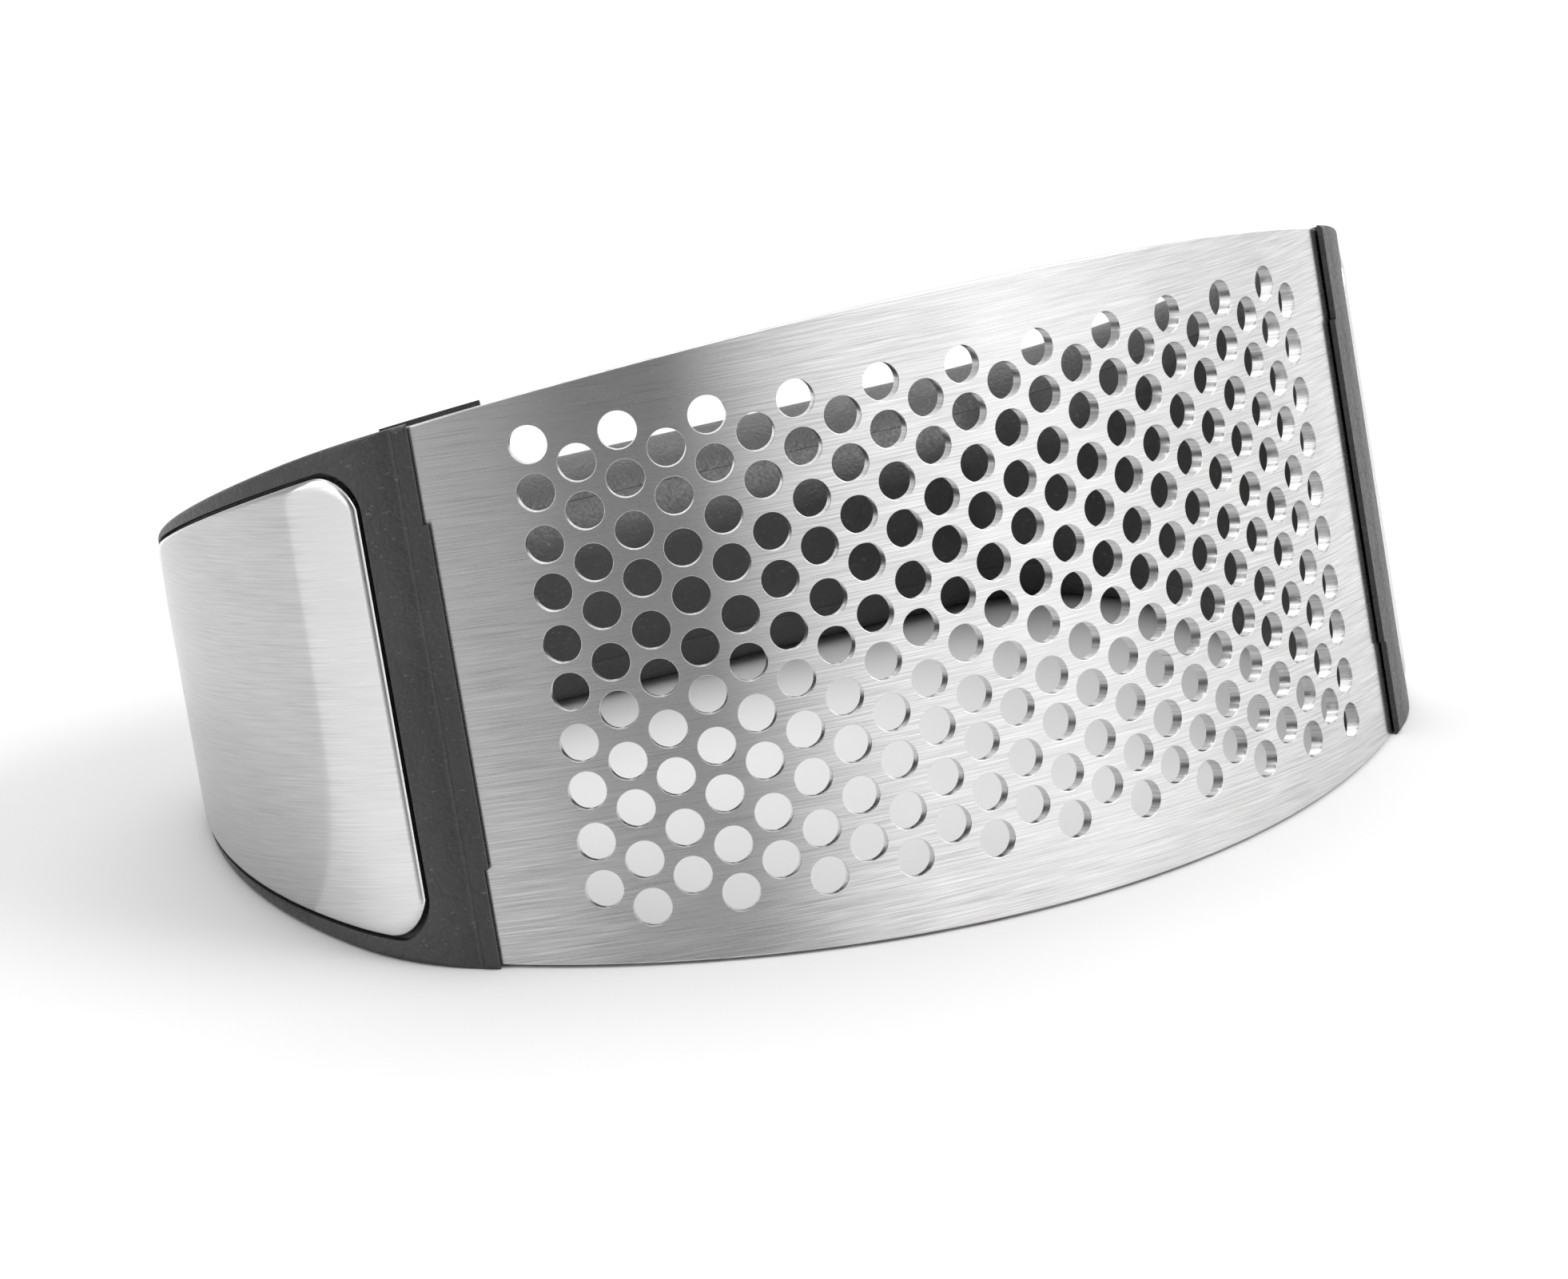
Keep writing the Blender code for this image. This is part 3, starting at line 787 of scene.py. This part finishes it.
def lip_lands():
    """Slightly longer middle part of each lip, as two small blocks in one object."""
    inside = PLATE_RADIUS + SLOT_GAP
    outside = math.hypot(LIP_POINT[0], PLATE_RADIUS - LIP_POINT[1])
    root = math.atan2(LIP_POINT[0], PLATE_RADIUS - LIP_POINT[1])
    start = root - LIP_LAND_ARC / outside
    end = root + 0.006
    bm = bmesh.new()
    for side in (1.0, -1.0):
        outline = []
        for radius, turn in ((inside, start), (outside, start), (outside, end), (inside, end)):
            x = side * radius * math.sin(turn)
            outline.append((x, PLATE_RADIUS - radius * math.cos(turn)))
        block(bm, outline, -LIP_LAND_HALF, LIP_LAND_HALF)
    return solid("lip_lands", bm)


def cover_trim(name, inset, corner):
    """Trimming solid for the recess: round front corners and a knee near the grip."""
    far = FAR_PAST_GRIP
    reach, rise = corner
    front = COVER_FRONT_Y + inset
    half = COVER_HALF - inset
    knee = half - COVER_SLOPE * COVER_KNEE_Y
    upper = [(far, knee - COVER_BACK_SLOPE * (far - COVER_KNEE_Y)), (COVER_KNEE_Y, knee)]
    for i in range(16):
        turn = math.radians(6.0 * i)
        y = front + reach * (1.0 - math.sin(turn))
        corner_half = half - COVER_SLOPE * (front + reach)
        upper.append((y, corner_half - rise * (1.0 - math.cos(turn))))
    outline = upper + [(y, -z) for y, z in reversed(upper)]
    return prism(name, outline, -PAST_ENDS, PAST_ENDS, ALONG_X)


def build_handle(grip_rounding, edge_rounding):
    """The one-piece moulding: lips, slots, tongues, side walls, hollow grip and cover recess."""
    step = OUTLINE_STEP
    fine = [s for s in outer_stations(LIP_STEP) if s[2] < LIP_HEADING + 15.0]
    coarse = [s for s in outer_stations(step) if s[2] > LIP_HEADING + 15.3]
    plan = both_sides(slot_stations() + grooved(fine + coarse))
    plan += list(reversed(both_sides(inner_stations(step))))
    handle = prism("handle", plan, -PAST_SIDES, PAST_SIDES)
    carve(handle, wedge("side_faces", HALF_WIDTH, SIDE_SLOPE, BEFORE_PLATE), "INTERSECT")
    carve(handle, inner_roundings(grip_rounding, step), "DIFFERENCE")
    carve(handle, outer_roundings(edge_rounding, step), "DIFFERENCE")
    carve(handle, lip_lands(), "UNION")
    carve(handle, raised_tongue(), "UNION")

    floor_line = [s for s in outer_stations(HIDDEN_STEP) if s[1] > HOLLOW_FRONT_Y - HOLLOW_RUN_IN]
    mouth_line = [s for s in inner_stations(HIDDEN_STEP) if s[1] > HOLLOW_FRONT_Y - HOLLOW_RUN_IN]
    floor = both_sides(offset(floor_line, -RECESS_DEPTH - OUTER_WALL))
    mouth = both_sides(offset(mouth_line, -1.0))
    hollow = prism("hollow", floor + list(reversed(mouth)), -PAST_SIDES, PAST_SIDES)
    limit = wedge("hollow_limit", HALF_WIDTH - SIDE_WALL, SIDE_SLOPE, HOLLOW_FRONT_Y)
    carve(hollow, limit, "INTERSECT")
    carve(handle, hollow, "DIFFERENCE")

    covered = [s for s in outer_stations(step) if s[2] > 43.0]
    recess = band("cover_recess", covered, 3.0, -RECESS_DEPTH)
    carve(recess, cover_trim("recess_edge", -RECESS_MARGIN, RECESS_CORNER), "INTERSECT")
    carve(handle, recess, "DIFFERENCE")

    holes = bmesh.new()
    sinks = bmesh.new()
    for spot in screw_places():
        rod(holes, CLEARANCE_RADIUS, -1.0, RECESS_DEPTH + OUTER_WALL + 0.5, 20, spot)
        rod(sinks, COUNTERBORE_RADIUS, -1.0, RECESS_DEPTH + COUNTERBORE_DEPTH, 20, spot)
    carve(handle, solid("screw_holes", holes), "DIFFERENCE")
    carve(handle, solid("screw_sinks", sinks), "DIFFERENCE")
    finish_surface(handle, 32.0)
    return handle


def build_liner(grip_rounding):
    """Curved strip that closes the hollow grip from inside, rounded together with it."""
    step = OUTLINE_STEP
    lined = [s for s in inner_stations(step) if s[1] > HOLLOW_FRONT_Y - HOLLOW_RUN_IN]
    liner = band("liner", lined, LINER_THICKNESS, 0.0)
    half = HALF_WIDTH - SIDE_WALL - LINER_GAP
    carve(liner, wedge("liner_edge", half, SIDE_SLOPE, HOLLOW_FRONT_Y + LINER_GAP), "INTERSECT")
    carve(liner, inner_roundings(grip_rounding, step), "DIFFERENCE")
    finish_surface(liner, 32.0)
    return liner


# ---------------------------------------------------------------- materials


class Shader:
    """Principled material under construction; values may be numbers or other nodes' outputs."""

    def __init__(self, name):
        self.material = bpy.data.materials.new(name)
        self.material.use_nodes = True
        self.nodes = self.material.node_tree.nodes
        self.links = self.material.node_tree.links
        self.nodes.clear()
        output = self.nodes.new("ShaderNodeOutputMaterial")
        self.surface = self.nodes.new("ShaderNodeBsdfPrincipled")
        self.links.new(self.surface.outputs["BSDF"], output.inputs["Surface"])

    def feed(self, socket, value):
        if isinstance(value, bpy.types.NodeSocket):
            self.links.new(value, socket)
        else:
            socket.default_value = value

    def set(self, **values):
        """Set inputs of the surface; an underscore in a name stands for a space."""
        for name, value in values.items():
            self.feed(self.surface.inputs[name.replace("_", " ")], value)

    def place(self, output="Object"):
        return self.nodes.new("ShaderNodeTexCoord").outputs[output]

    def stretch(self, vector, scale):
        node = self.nodes.new("ShaderNodeVectorMath")
        node.operation = "MULTIPLY"
        self.feed(node.inputs[0], vector)
        node.inputs[1].default_value = scale
        return node.outputs[0]

    def noise(self, vector, scale, detail=2.0, roughness=0.5, distortion=0.0):
        node = self.nodes.new("ShaderNodeTexNoise")
        self.feed(node.inputs["Vector"], vector)
        node.inputs["Scale"].default_value = scale
        node.inputs["Detail"].default_value = detail
        node.inputs["Roughness"].default_value = roughness
        node.inputs["Distortion"].default_value = distortion
        return node.outputs[0]

    def cells(self, vector, scale, feature="F1"):
        node = self.nodes.new("ShaderNodeTexVoronoi")
        node.feature = feature
        self.feed(node.inputs["Vector"], vector)
        node.inputs["Scale"].default_value = scale
        return node.outputs["Distance"]

    def maths(self, operation, first, second=0.0):
        node = self.nodes.new("ShaderNodeMath")
        node.operation = operation
        self.feed(node.inputs[0], first)
        self.feed(node.inputs[1], second)
        return node.outputs[0]

    def fit(self, value, low, high, to_low=0.0, to_high=1.0):
        """Map a range of values onto another range, held at both ends."""
        node = self.nodes.new("ShaderNodeMapRange")
        for socket, given in zip(node.inputs[:5], (value, low, high, to_low, to_high)):
            self.feed(socket, given)
        return node.outputs[0]

    def blend(self, factor, first, second, mode="MIX"):
        node = self.nodes.new("ShaderNodeMix")
        node.data_type = "RGBA"
        node.blend_type = mode
        self.feed(node.inputs[0], factor)
        self.feed(node.inputs[6], first)
        self.feed(node.inputs[7], second)
        return node.outputs[2]

    def bump(self, height, depth, strength=1.0, normal=None):
        """Bump whose height of one stands for this depth in millimetres."""
        node = self.nodes.new("ShaderNodeBump")
        node.inputs["Strength"].default_value = strength
        node.inputs["Distance"].default_value = depth * MM
        self.feed(node.inputs["Height"], height)
        if normal is not None:
            self.feed(node.inputs["Normal"], normal)
        return node.outputs[0]


def grey(level, warmth=0.0):
    """Neutral colour, or a slightly warm one."""
    return (level * (1.0 + warmth), level, level * (1.0 - warmth), 1.0)


def brushed_steel(name, colour, dark, roughness, anisotropy):
    """Steel brushed along U. The highlight spreads across the brush lines."""
    shader = Shader(name)
    sheet = shader.place("UV")
    hair = shader.noise(shader.stretch(sheet, (16.0, 1100.0, 1.0)), 1.0, 2.0, 0.55)
    strand = shader.noise(shader.stretch(sheet, (11.0, 480.0, 1.0)), 1.0, 2.0, 0.5)
    cloud = shader.noise(shader.stretch(sheet, (10.0, 26.0, 1.0)), 1.0, 3.0, 0.55)
    lines = shader.maths("ADD", shader.maths("MULTIPLY", hair, 0.62),
                         shader.maths("MULTIPLY", strand, 0.38))
    tone = shader.blend(shader.fit(lines, 0.34, 0.62), dark, colour)
    patch = shader.fit(cloud, 0.3, 0.7, 0.95, 1.02)
    tone = shader.blend(1.0, tone, shader.blend(patch, grey(0.0), grey(1.0)), "MULTIPLY")
    rough = shader.fit(lines, 0.38, 0.62, roughness + 0.05, roughness - 0.04)
    tangent = shader.nodes.new("ShaderNodeTangent")
    tangent.direction_type = "UV_MAP"
    shader.set(Base_Color=tone, Metallic=1.0, Roughness=rough, Anisotropic=anisotropy,
               Anisotropic_Rotation=0.25, Tangent=tangent.outputs[0],
               Normal=shader.bump(lines, 0.004, 0.22))
    return shader.material


def cut_steel(name, colour, roughness):
    """Sheared or punched steel: fine grain, light and dark smears."""
    shader = Shader(name)
    spot = shader.place()
    smear = shader.noise(shader.stretch(spot, (1.0, 1.0, 0.45)), 1500.0, 3.0, 0.6, 0.4)
    grain = shader.noise(spot, 9000.0, 2.0)
    tone = shader.blend(shader.fit(smear, 0.35, 0.65), grey(0.05, 0.06), colour)
    rough = shader.fit(grain, 0.3, 0.7, roughness - 0.06, roughness + 0.08)
    shader.set(Base_Color=tone, Metallic=1.0, Roughness=rough,
               Normal=shader.bump(smear, 0.02, 0.6))
    return shader.material


def moulded_plastic(name, colour, grain_depth, roughness):
    """Matte moulded plastic: spark-eroded grain, faint flow marks and a few painted glints as bright
    specks.
    """
    shader = Shader(name)
    spot = shader.place()
    grain = shader.noise(spot, 3000.0, 3.0, 0.65)
    pits = shader.fit(shader.cells(spot, 2100.0), 0.0, 0.6)
    surface = shader.maths("ADD", shader.maths("MULTIPLY", grain, 0.6),
                           shader.maths("MULTIPLY", pits, 0.4))
    swirl = shader.noise(spot, 190.0, 4.0, 0.6, 1.8)
    flow = shader.fit(shader.maths("ABSOLUTE", shader.maths("SUBTRACT", swirl, 0.5)), 0.0, 0.04)
    fold = shader.noise(shader.stretch(spot, (1.0, 1.0, 0.55)), 520.0, 3.0, 0.6, 0.8)
    cloud = shader.noise(spot, 75.0, 3.0)
    painted_glint = shader.noise(shader.stretch(spot, (1.0, 1.0, 2.6)), 1700.0, 2.0, 0.6, 0.6)
    base = shader.blend(shader.fit(cloud, 0.35, 0.65), [c * 0.72 for c in colour[:3]] + [1.0],
                        colour)
    base = shader.blend(shader.fit(flow, 0.0, 1.0, 0.20, 0.0), base, grey(0.008))
    # Painted glints: small spots where the base colour is lifted to light grey
    base = shader.blend(shader.fit(painted_glint, 0.64, 0.74, 0.0, 0.8), base, grey(0.11))
    rough = shader.fit(grain, 0.35, 0.65, roughness - 0.08, roughness + 0.10)
    normal = shader.bump(fold, grain_depth * 2.2, 0.7)
    normal = shader.bump(surface, grain_depth * 1.6, 1.0, normal)
    normal = shader.bump(flow, grain_depth * 0.8, 0.6, normal)
    shader.set(Base_Color=base, Roughness=rough, IOR=1.5, Normal=normal)
    return shader.material


def clear_film(name):
    """Double-sided adhesive film: milky, a little uneven."""
    shader = Shader(name)
    spot = shader.place()
    cloud = shader.noise(spot, 400.0, 3.0)
    tone = shader.blend(cloud, (0.62, 0.60, 0.54, 1.0), (0.80, 0.79, 0.74, 1.0))
    shader.set(Base_Color=tone, Roughness=shader.fit(cloud, 0.3, 0.7, 0.3, 0.5),
               Normal=shader.bump(cloud, 0.01, 0.5))
    return shader.material


def plated_steel(name):
    """Zinc-plated screw: bluish grey with a fine crystalline tone."""
    shader = Shader(name)
    spot = shader.place()
    crystal = shader.cells(spot, 2400.0)
    wear = shader.noise(spot, 700.0, 3.0, 0.6)
    tone = shader.blend(shader.fit(crystal, 0.1, 0.6), (0.52, 0.55, 0.60, 1.0),
                        (0.68, 0.70, 0.74, 1.0))
    shader.set(Base_Color=tone, Metallic=1.0, Roughness=shader.fit(wear, 0.3, 0.7, 0.24, 0.42),
               Normal=shader.bump(wear, 0.01, 0.4))
    return shader.material


def studio_floor(name, colour):
    """Matt paper or card with a hardly visible mottle."""
    shader = Shader(name)
    mottle = shader.noise(shader.place(), 30.0, 3.0)
    dim = [c * 0.985 for c in colour[:3]] + [1.0]
    shader.set(Base_Color=shader.blend(mottle, dim, colour), Roughness=0.85)
    shader.surface.inputs["Specular IOR Level"].default_value = 0.1
    return shader.material


# ---------------------------------------------------------------- settings


class GarlicPressSizes(bpy.types.PropertyGroup):
    """Sizes that shape the visible pieces."""

    hole_diameter: bpy.props.FloatProperty(
        name="Hole diameter", description="Diameter of the plate's punched holes",
        default=3.30 * MM, min=2.0 * MM, max=3.5 * MM, unit="LENGTH", precision=5)
    grip_rounding: bpy.props.FloatProperty(
        name="Grip rounding", description="Radius of the handle's inner edges at the grip",
        default=8.5 * MM, min=1.0 * MM, max=9.0 * MM, unit="LENGTH", precision=5)
    edge_rounding: bpy.props.FloatProperty(
        name="Edge rounding", description="Radius of the handle's outer edges",
        default=0.6 * MM, min=0.2 * MM, max=1.2 * MM, unit="LENGTH", precision=5)
    cover_roll: bpy.props.FloatProperty(
        name="Cover edge roll", description="Width of the steel cover's rolled-down edge",
        default=0.70 * MM, min=0.2 * MM, max=1.0 * MM, unit="LENGTH", precision=5)


class GarlicPressColours(bpy.types.PropertyGroup):
    """Base colours of the materials."""

    steel: bpy.props.FloatVectorProperty(
        name="Steel", description="Light tone of the brushed steel", subtype="COLOR", size=4,
        default=(0.74, 0.73, 0.73, 1.0), min=0.0, max=1.0)
    plastic: bpy.props.FloatVectorProperty(
        name="Plastic", description="Tone of the moulded handle", subtype="COLOR", size=4,
        default=(0.040, 0.040, 0.042, 1.0), min=0.0, max=1.0)
    liner: bpy.props.FloatVectorProperty(
        name="Liner", description="Tone of the grip's inner lining", subtype="COLOR", size=4,
        default=(0.030, 0.030, 0.031, 1.0), min=0.0, max=1.0)
    floor: bpy.props.FloatVectorProperty(
        name="Floor", description="Tone of the studio floor", subtype="COLOR", size=4,
        default=(0.70, 0.70, 0.70, 1.0), min=0.0, max=1.0)


def sizes():
    return bpy.context.scene.garlic_press_sizes


def colours():
    return bpy.context.scene.garlic_press_colours


# ---------------------------------------------------------------- operators


class PieceOperator:
    """Common part of the operators that build one piece each."""

    bl_options = {"REGISTER", "UNDO"}

    @classmethod
    def poll(cls, context):
        return context.scene is not None


class GARLICPRESS_OT_plate(PieceOperator, bpy.types.Operator):
    """Build the curved steel plate with its staggered punched holes"""

    bl_idname = "garlic_press.plate"
    bl_label = "Punched Plate"

    def execute(self, context):
        face = brushed_steel("brushed_plate_steel", tuple(colours().steel), grey(0.46), 0.24, 0.82)
        # The hole walls' cut steel is far darker than the sheared edge's: painted shade for the inside
        # of the holes; the smears are the cut's own
        wall = cut_steel("painted_shade_hole_steel", grey(0.17, 0.08), 0.28)
        edge = cut_steel("sheared_edge_steel", grey(0.78), 0.30)
        obj = build_plate(sizes().hole_diameter / MM)
        place(obj, "punched_plate", (face, wall, edge), "perforated_plate", ["perforated_plate"])
        return {"FINISHED"}


class GARLICPRESS_OT_handle(PieceOperator, bpy.types.Operator):
    """Build the one-piece black handle that holds the plate by both ends"""

    bl_idname = "garlic_press.handle"
    bl_label = "Moulded Handle"

    def execute(self, context):
        plastic = moulded_plastic("grained_black_plastic", tuple(colours().plastic), 0.040, 0.42)
        obj = build_handle(sizes().grip_rounding / MM, sizes().edge_rounding / MM)
        place(obj, "moulded_handle", plastic, "handle_frame", ["handle_frame"])
        return {"FINISHED"}


class GARLICPRESS_OT_liner(PieceOperator, bpy.types.Operator):
    """Build the lining that closes the hollow grip from inside the ring"""

    bl_idname = "garlic_press.liner"
    bl_label = "Grip Liner"

    def execute(self, context):
        plastic = moulded_plastic("smooth_black_plastic", tuple(colours().liner), 0.012, 0.42)
        obj = build_liner(sizes().grip_rounding / MM)
        place(obj, "inner_liner", plastic, "grip_liner", ["grip_liner"])
        return {"FINISHED"}


class GARLICPRESS_OT_cover(PieceOperator, bpy.types.Operator):
    """Build the brushed steel band let into the outside of the handle"""

    bl_idname = "garlic_press.cover"
    bl_label = "Steel Cover"

    def execute(self, context):
        face = brushed_steel("brushed_cover_steel", tuple(colours().steel), grey(0.60), 0.17, 0.86)
        obj = build_cover(sizes().cover_roll / MM)
        place(obj, "steel_cover", face, "handle_cover", ["handle_cover"])
        return {"FINISHED"}


class GARLICPRESS_OT_hidden_parts(PieceOperator, bpy.types.Operator):
    """Give the hidden adhesive film and the six screws their own surfaces"""

    bl_idname = "garlic_press.hidden_parts"
    bl_label = "Film and Screws"

    def execute(self, context):
        film = clear_film("milky_adhesive_film")
        zinc = plated_steel("zinc_plated_steel")
        for name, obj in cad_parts.items():
            if "screw" in name or "film" in name:
                obj.data.materials.clear()
                obj.data.materials.append(film if "film" in name else zinc)
        return {"FINISHED"}


def area_light(name, location, aim, size, power):
    """Rectangular soft box turned towards a point."""
    data = bpy.data.lights.new(name, "AREA")
    data.shape = "RECTANGLE"
    data.size, data.size_y = size
    data.energy = power
    lamp = bpy.data.objects.new(name, data)
    lamp.location = location
    lamp.rotation_mode = "QUATERNION"
    lamp.rotation_quaternion = (Vector(aim) - Vector(location)).to_track_quat("-Z", "Y")
    bpy.context.scene.collection.objects.link(lamp)
    return lamp


def studio_surround():
    """Studio surroundings: walls of uneven brightness under a bright ceiling."""
    world = bpy.data.worlds.new("studio")
    world.use_nodes = True
    nodes = world.node_tree.nodes
    links = world.node_tree.links
    place = nodes.new("ShaderNodeTexCoord")
    split = nodes.new("ShaderNodeSeparateXYZ")
    links.new(place.outputs["Generated"], split.inputs[0])
    flip = nodes.new("ShaderNodeMath")
    flip.operation = "MULTIPLY"
    flip.inputs[1].default_value = -1.0
    links.new(split.outputs["Y"], flip.inputs[0])
    azimuth = nodes.new("ShaderNodeMath")
    azimuth.operation = "ARCTAN2"
    links.new(split.outputs["X"], azimuth.inputs[0])
    links.new(flip.outputs[0], azimuth.inputs[1])
    share = nodes.new("ShaderNodeMapRange")
    share.inputs["From Min"].default_value = -math.pi
    share.inputs["From Max"].default_value = math.pi
    links.new(azimuth.outputs[0], share.inputs["Value"])
    walls = nodes.new("ShaderNodeValToRGB")
    walls.color_ramp.interpolation = "LINEAR"
    stops = walls.color_ramp.elements
    while len(stops) < len(SURROUND):
        stops.new(0.5)
    for stop, (angle, level) in zip(stops, SURROUND):
        stop.position = (angle + 180.0) / 360.0
        stop.color = grey(level)
    links.new(share.outputs[0], walls.inputs["Fac"])
    ceiling = nodes.new("ShaderNodeMapRange")
    ceiling.interpolation_type = "SMOOTHSTEP"
    ceiling.inputs["From Min"].default_value = math.sin(math.radians(35.0))
    ceiling.inputs["From Max"].default_value = math.sin(math.radians(65.0))
    links.new(split.outputs["Z"], ceiling.inputs["Value"])
    mix = nodes.new("ShaderNodeMix")
    mix.data_type = "RGBA"
    links.new(ceiling.outputs[0], mix.inputs[0])
    links.new(walls.outputs["Color"], mix.inputs[6])
    mix.inputs[7].default_value = grey(OVERHEAD_BRIGHTNESS)
    links.new(mix.outputs[2], nodes["Background"].inputs["Color"])
    return world


class GARLICPRESS_OT_stage(PieceOperator, bpy.types.Operator):
    """Set up the pale floor, the grey card, the soft studio lights and the camera"""

    bl_idname = "garlic_press.stage"
    bl_label = "Studio"

    def execute(self, context):
        bm = bmesh.new()
        bmesh.ops.create_grid(bm, x_segments=8, y_segments=8, size=FLOOR_HALF_SIZE)
        floor = solid("studio_floor", bm)
        floor.data.materials.append(studio_floor("pale_floor", tuple(colours().floor)))

        card = carrier_mesh("grey_card", [(x / MM, y / MM, CARD_HEIGHT) for x, y in GREY_CARD],
                            [(3, 2, 1, 0)])
        card.data.materials.append(studio_floor("card_grey", grey(CARD_TONE)))
        card.visible_camera = False
        card.visible_diffuse = False
        card.visible_shadow = False

        for name, location, size, power in STUDIO_LIGHTS:
            area_light(name, location, (0.0, 0.0, 0.02), size, power)
        context.scene.world = studio_surround()
        context.scene.view_settings.view_transform = "Standard"

        lens = bpy.data.cameras.new("camera")
        lens.lens = CAMERA_LENS
        lens.sensor_width = 36.0
        lens.dof.use_dof = False
        camera = bpy.data.objects.new("camera", lens)
        heading, pitch, roll = (math.radians(angle) for angle in CAMERA_ANGLES)
        turn = Matrix.Rotation(heading, 4, "Z") @ Matrix.Rotation(pitch, 4, "X")
        turn = turn @ Matrix.Rotation(roll, 4, "Z")
        back = turn @ Vector((0.0, 0.0, CAMERA_DISTANCE))
        camera.matrix_world = Matrix.Translation(Vector(CAMERA_AIM) + back) @ turn
        context.scene.collection.objects.link(camera)
        context.scene.camera = camera
        return {"FINISHED"}


class GARLICPRESS_PT_panel(bpy.types.Panel):
    """Sidebar panel with the sizes, the colours and one button for each piece"""

    bl_idname = "GARLICPRESS_PT_panel"
    bl_label = "Garlic Press"
    bl_space_type = "VIEW_3D"
    bl_region_type = "UI"
    bl_category = "Garlic Press"

    def draw(self, context):
        column = self.layout.column(align=True)
        for group in (context.scene.garlic_press_sizes, context.scene.garlic_press_colours):
            for name in group.bl_rna.properties.keys():
                if name not in {"rna_type", "name"}:
                    column.prop(group, name)
            column.separator()
        for step in STEPS:
            column.operator(step.bl_idname)


STEPS = (
    GARLICPRESS_OT_plate,
    GARLICPRESS_OT_handle,
    GARLICPRESS_OT_liner,
    GARLICPRESS_OT_cover,
    GARLICPRESS_OT_hidden_parts,
    GARLICPRESS_OT_stage,
)
CLASSES = (GarlicPressSizes, GarlicPressColours, *STEPS, GARLICPRESS_PT_panel)


def register():
    for cls in CLASSES:
        bpy.utils.register_class(cls)
    scene = bpy.types.Scene
    scene.garlic_press_sizes = bpy.props.PointerProperty(type=GarlicPressSizes)
    scene.garlic_press_colours = bpy.props.PointerProperty(type=GarlicPressColours)


def unregister():
    del bpy.types.Scene.garlic_press_colours
    del bpy.types.Scene.garlic_press_sizes
    for cls in reversed(CLASSES):
        bpy.utils.unregister_class(cls)


def main():
    register()
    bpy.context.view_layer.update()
    bpy.ops.garlic_press.plate()
    bpy.ops.garlic_press.handle()
    bpy.ops.garlic_press.liner()
    bpy.ops.garlic_press.cover()
    bpy.ops.garlic_press.hidden_parts()
    bpy.ops.garlic_press.stage()


if __name__ == "__main__":
    main()
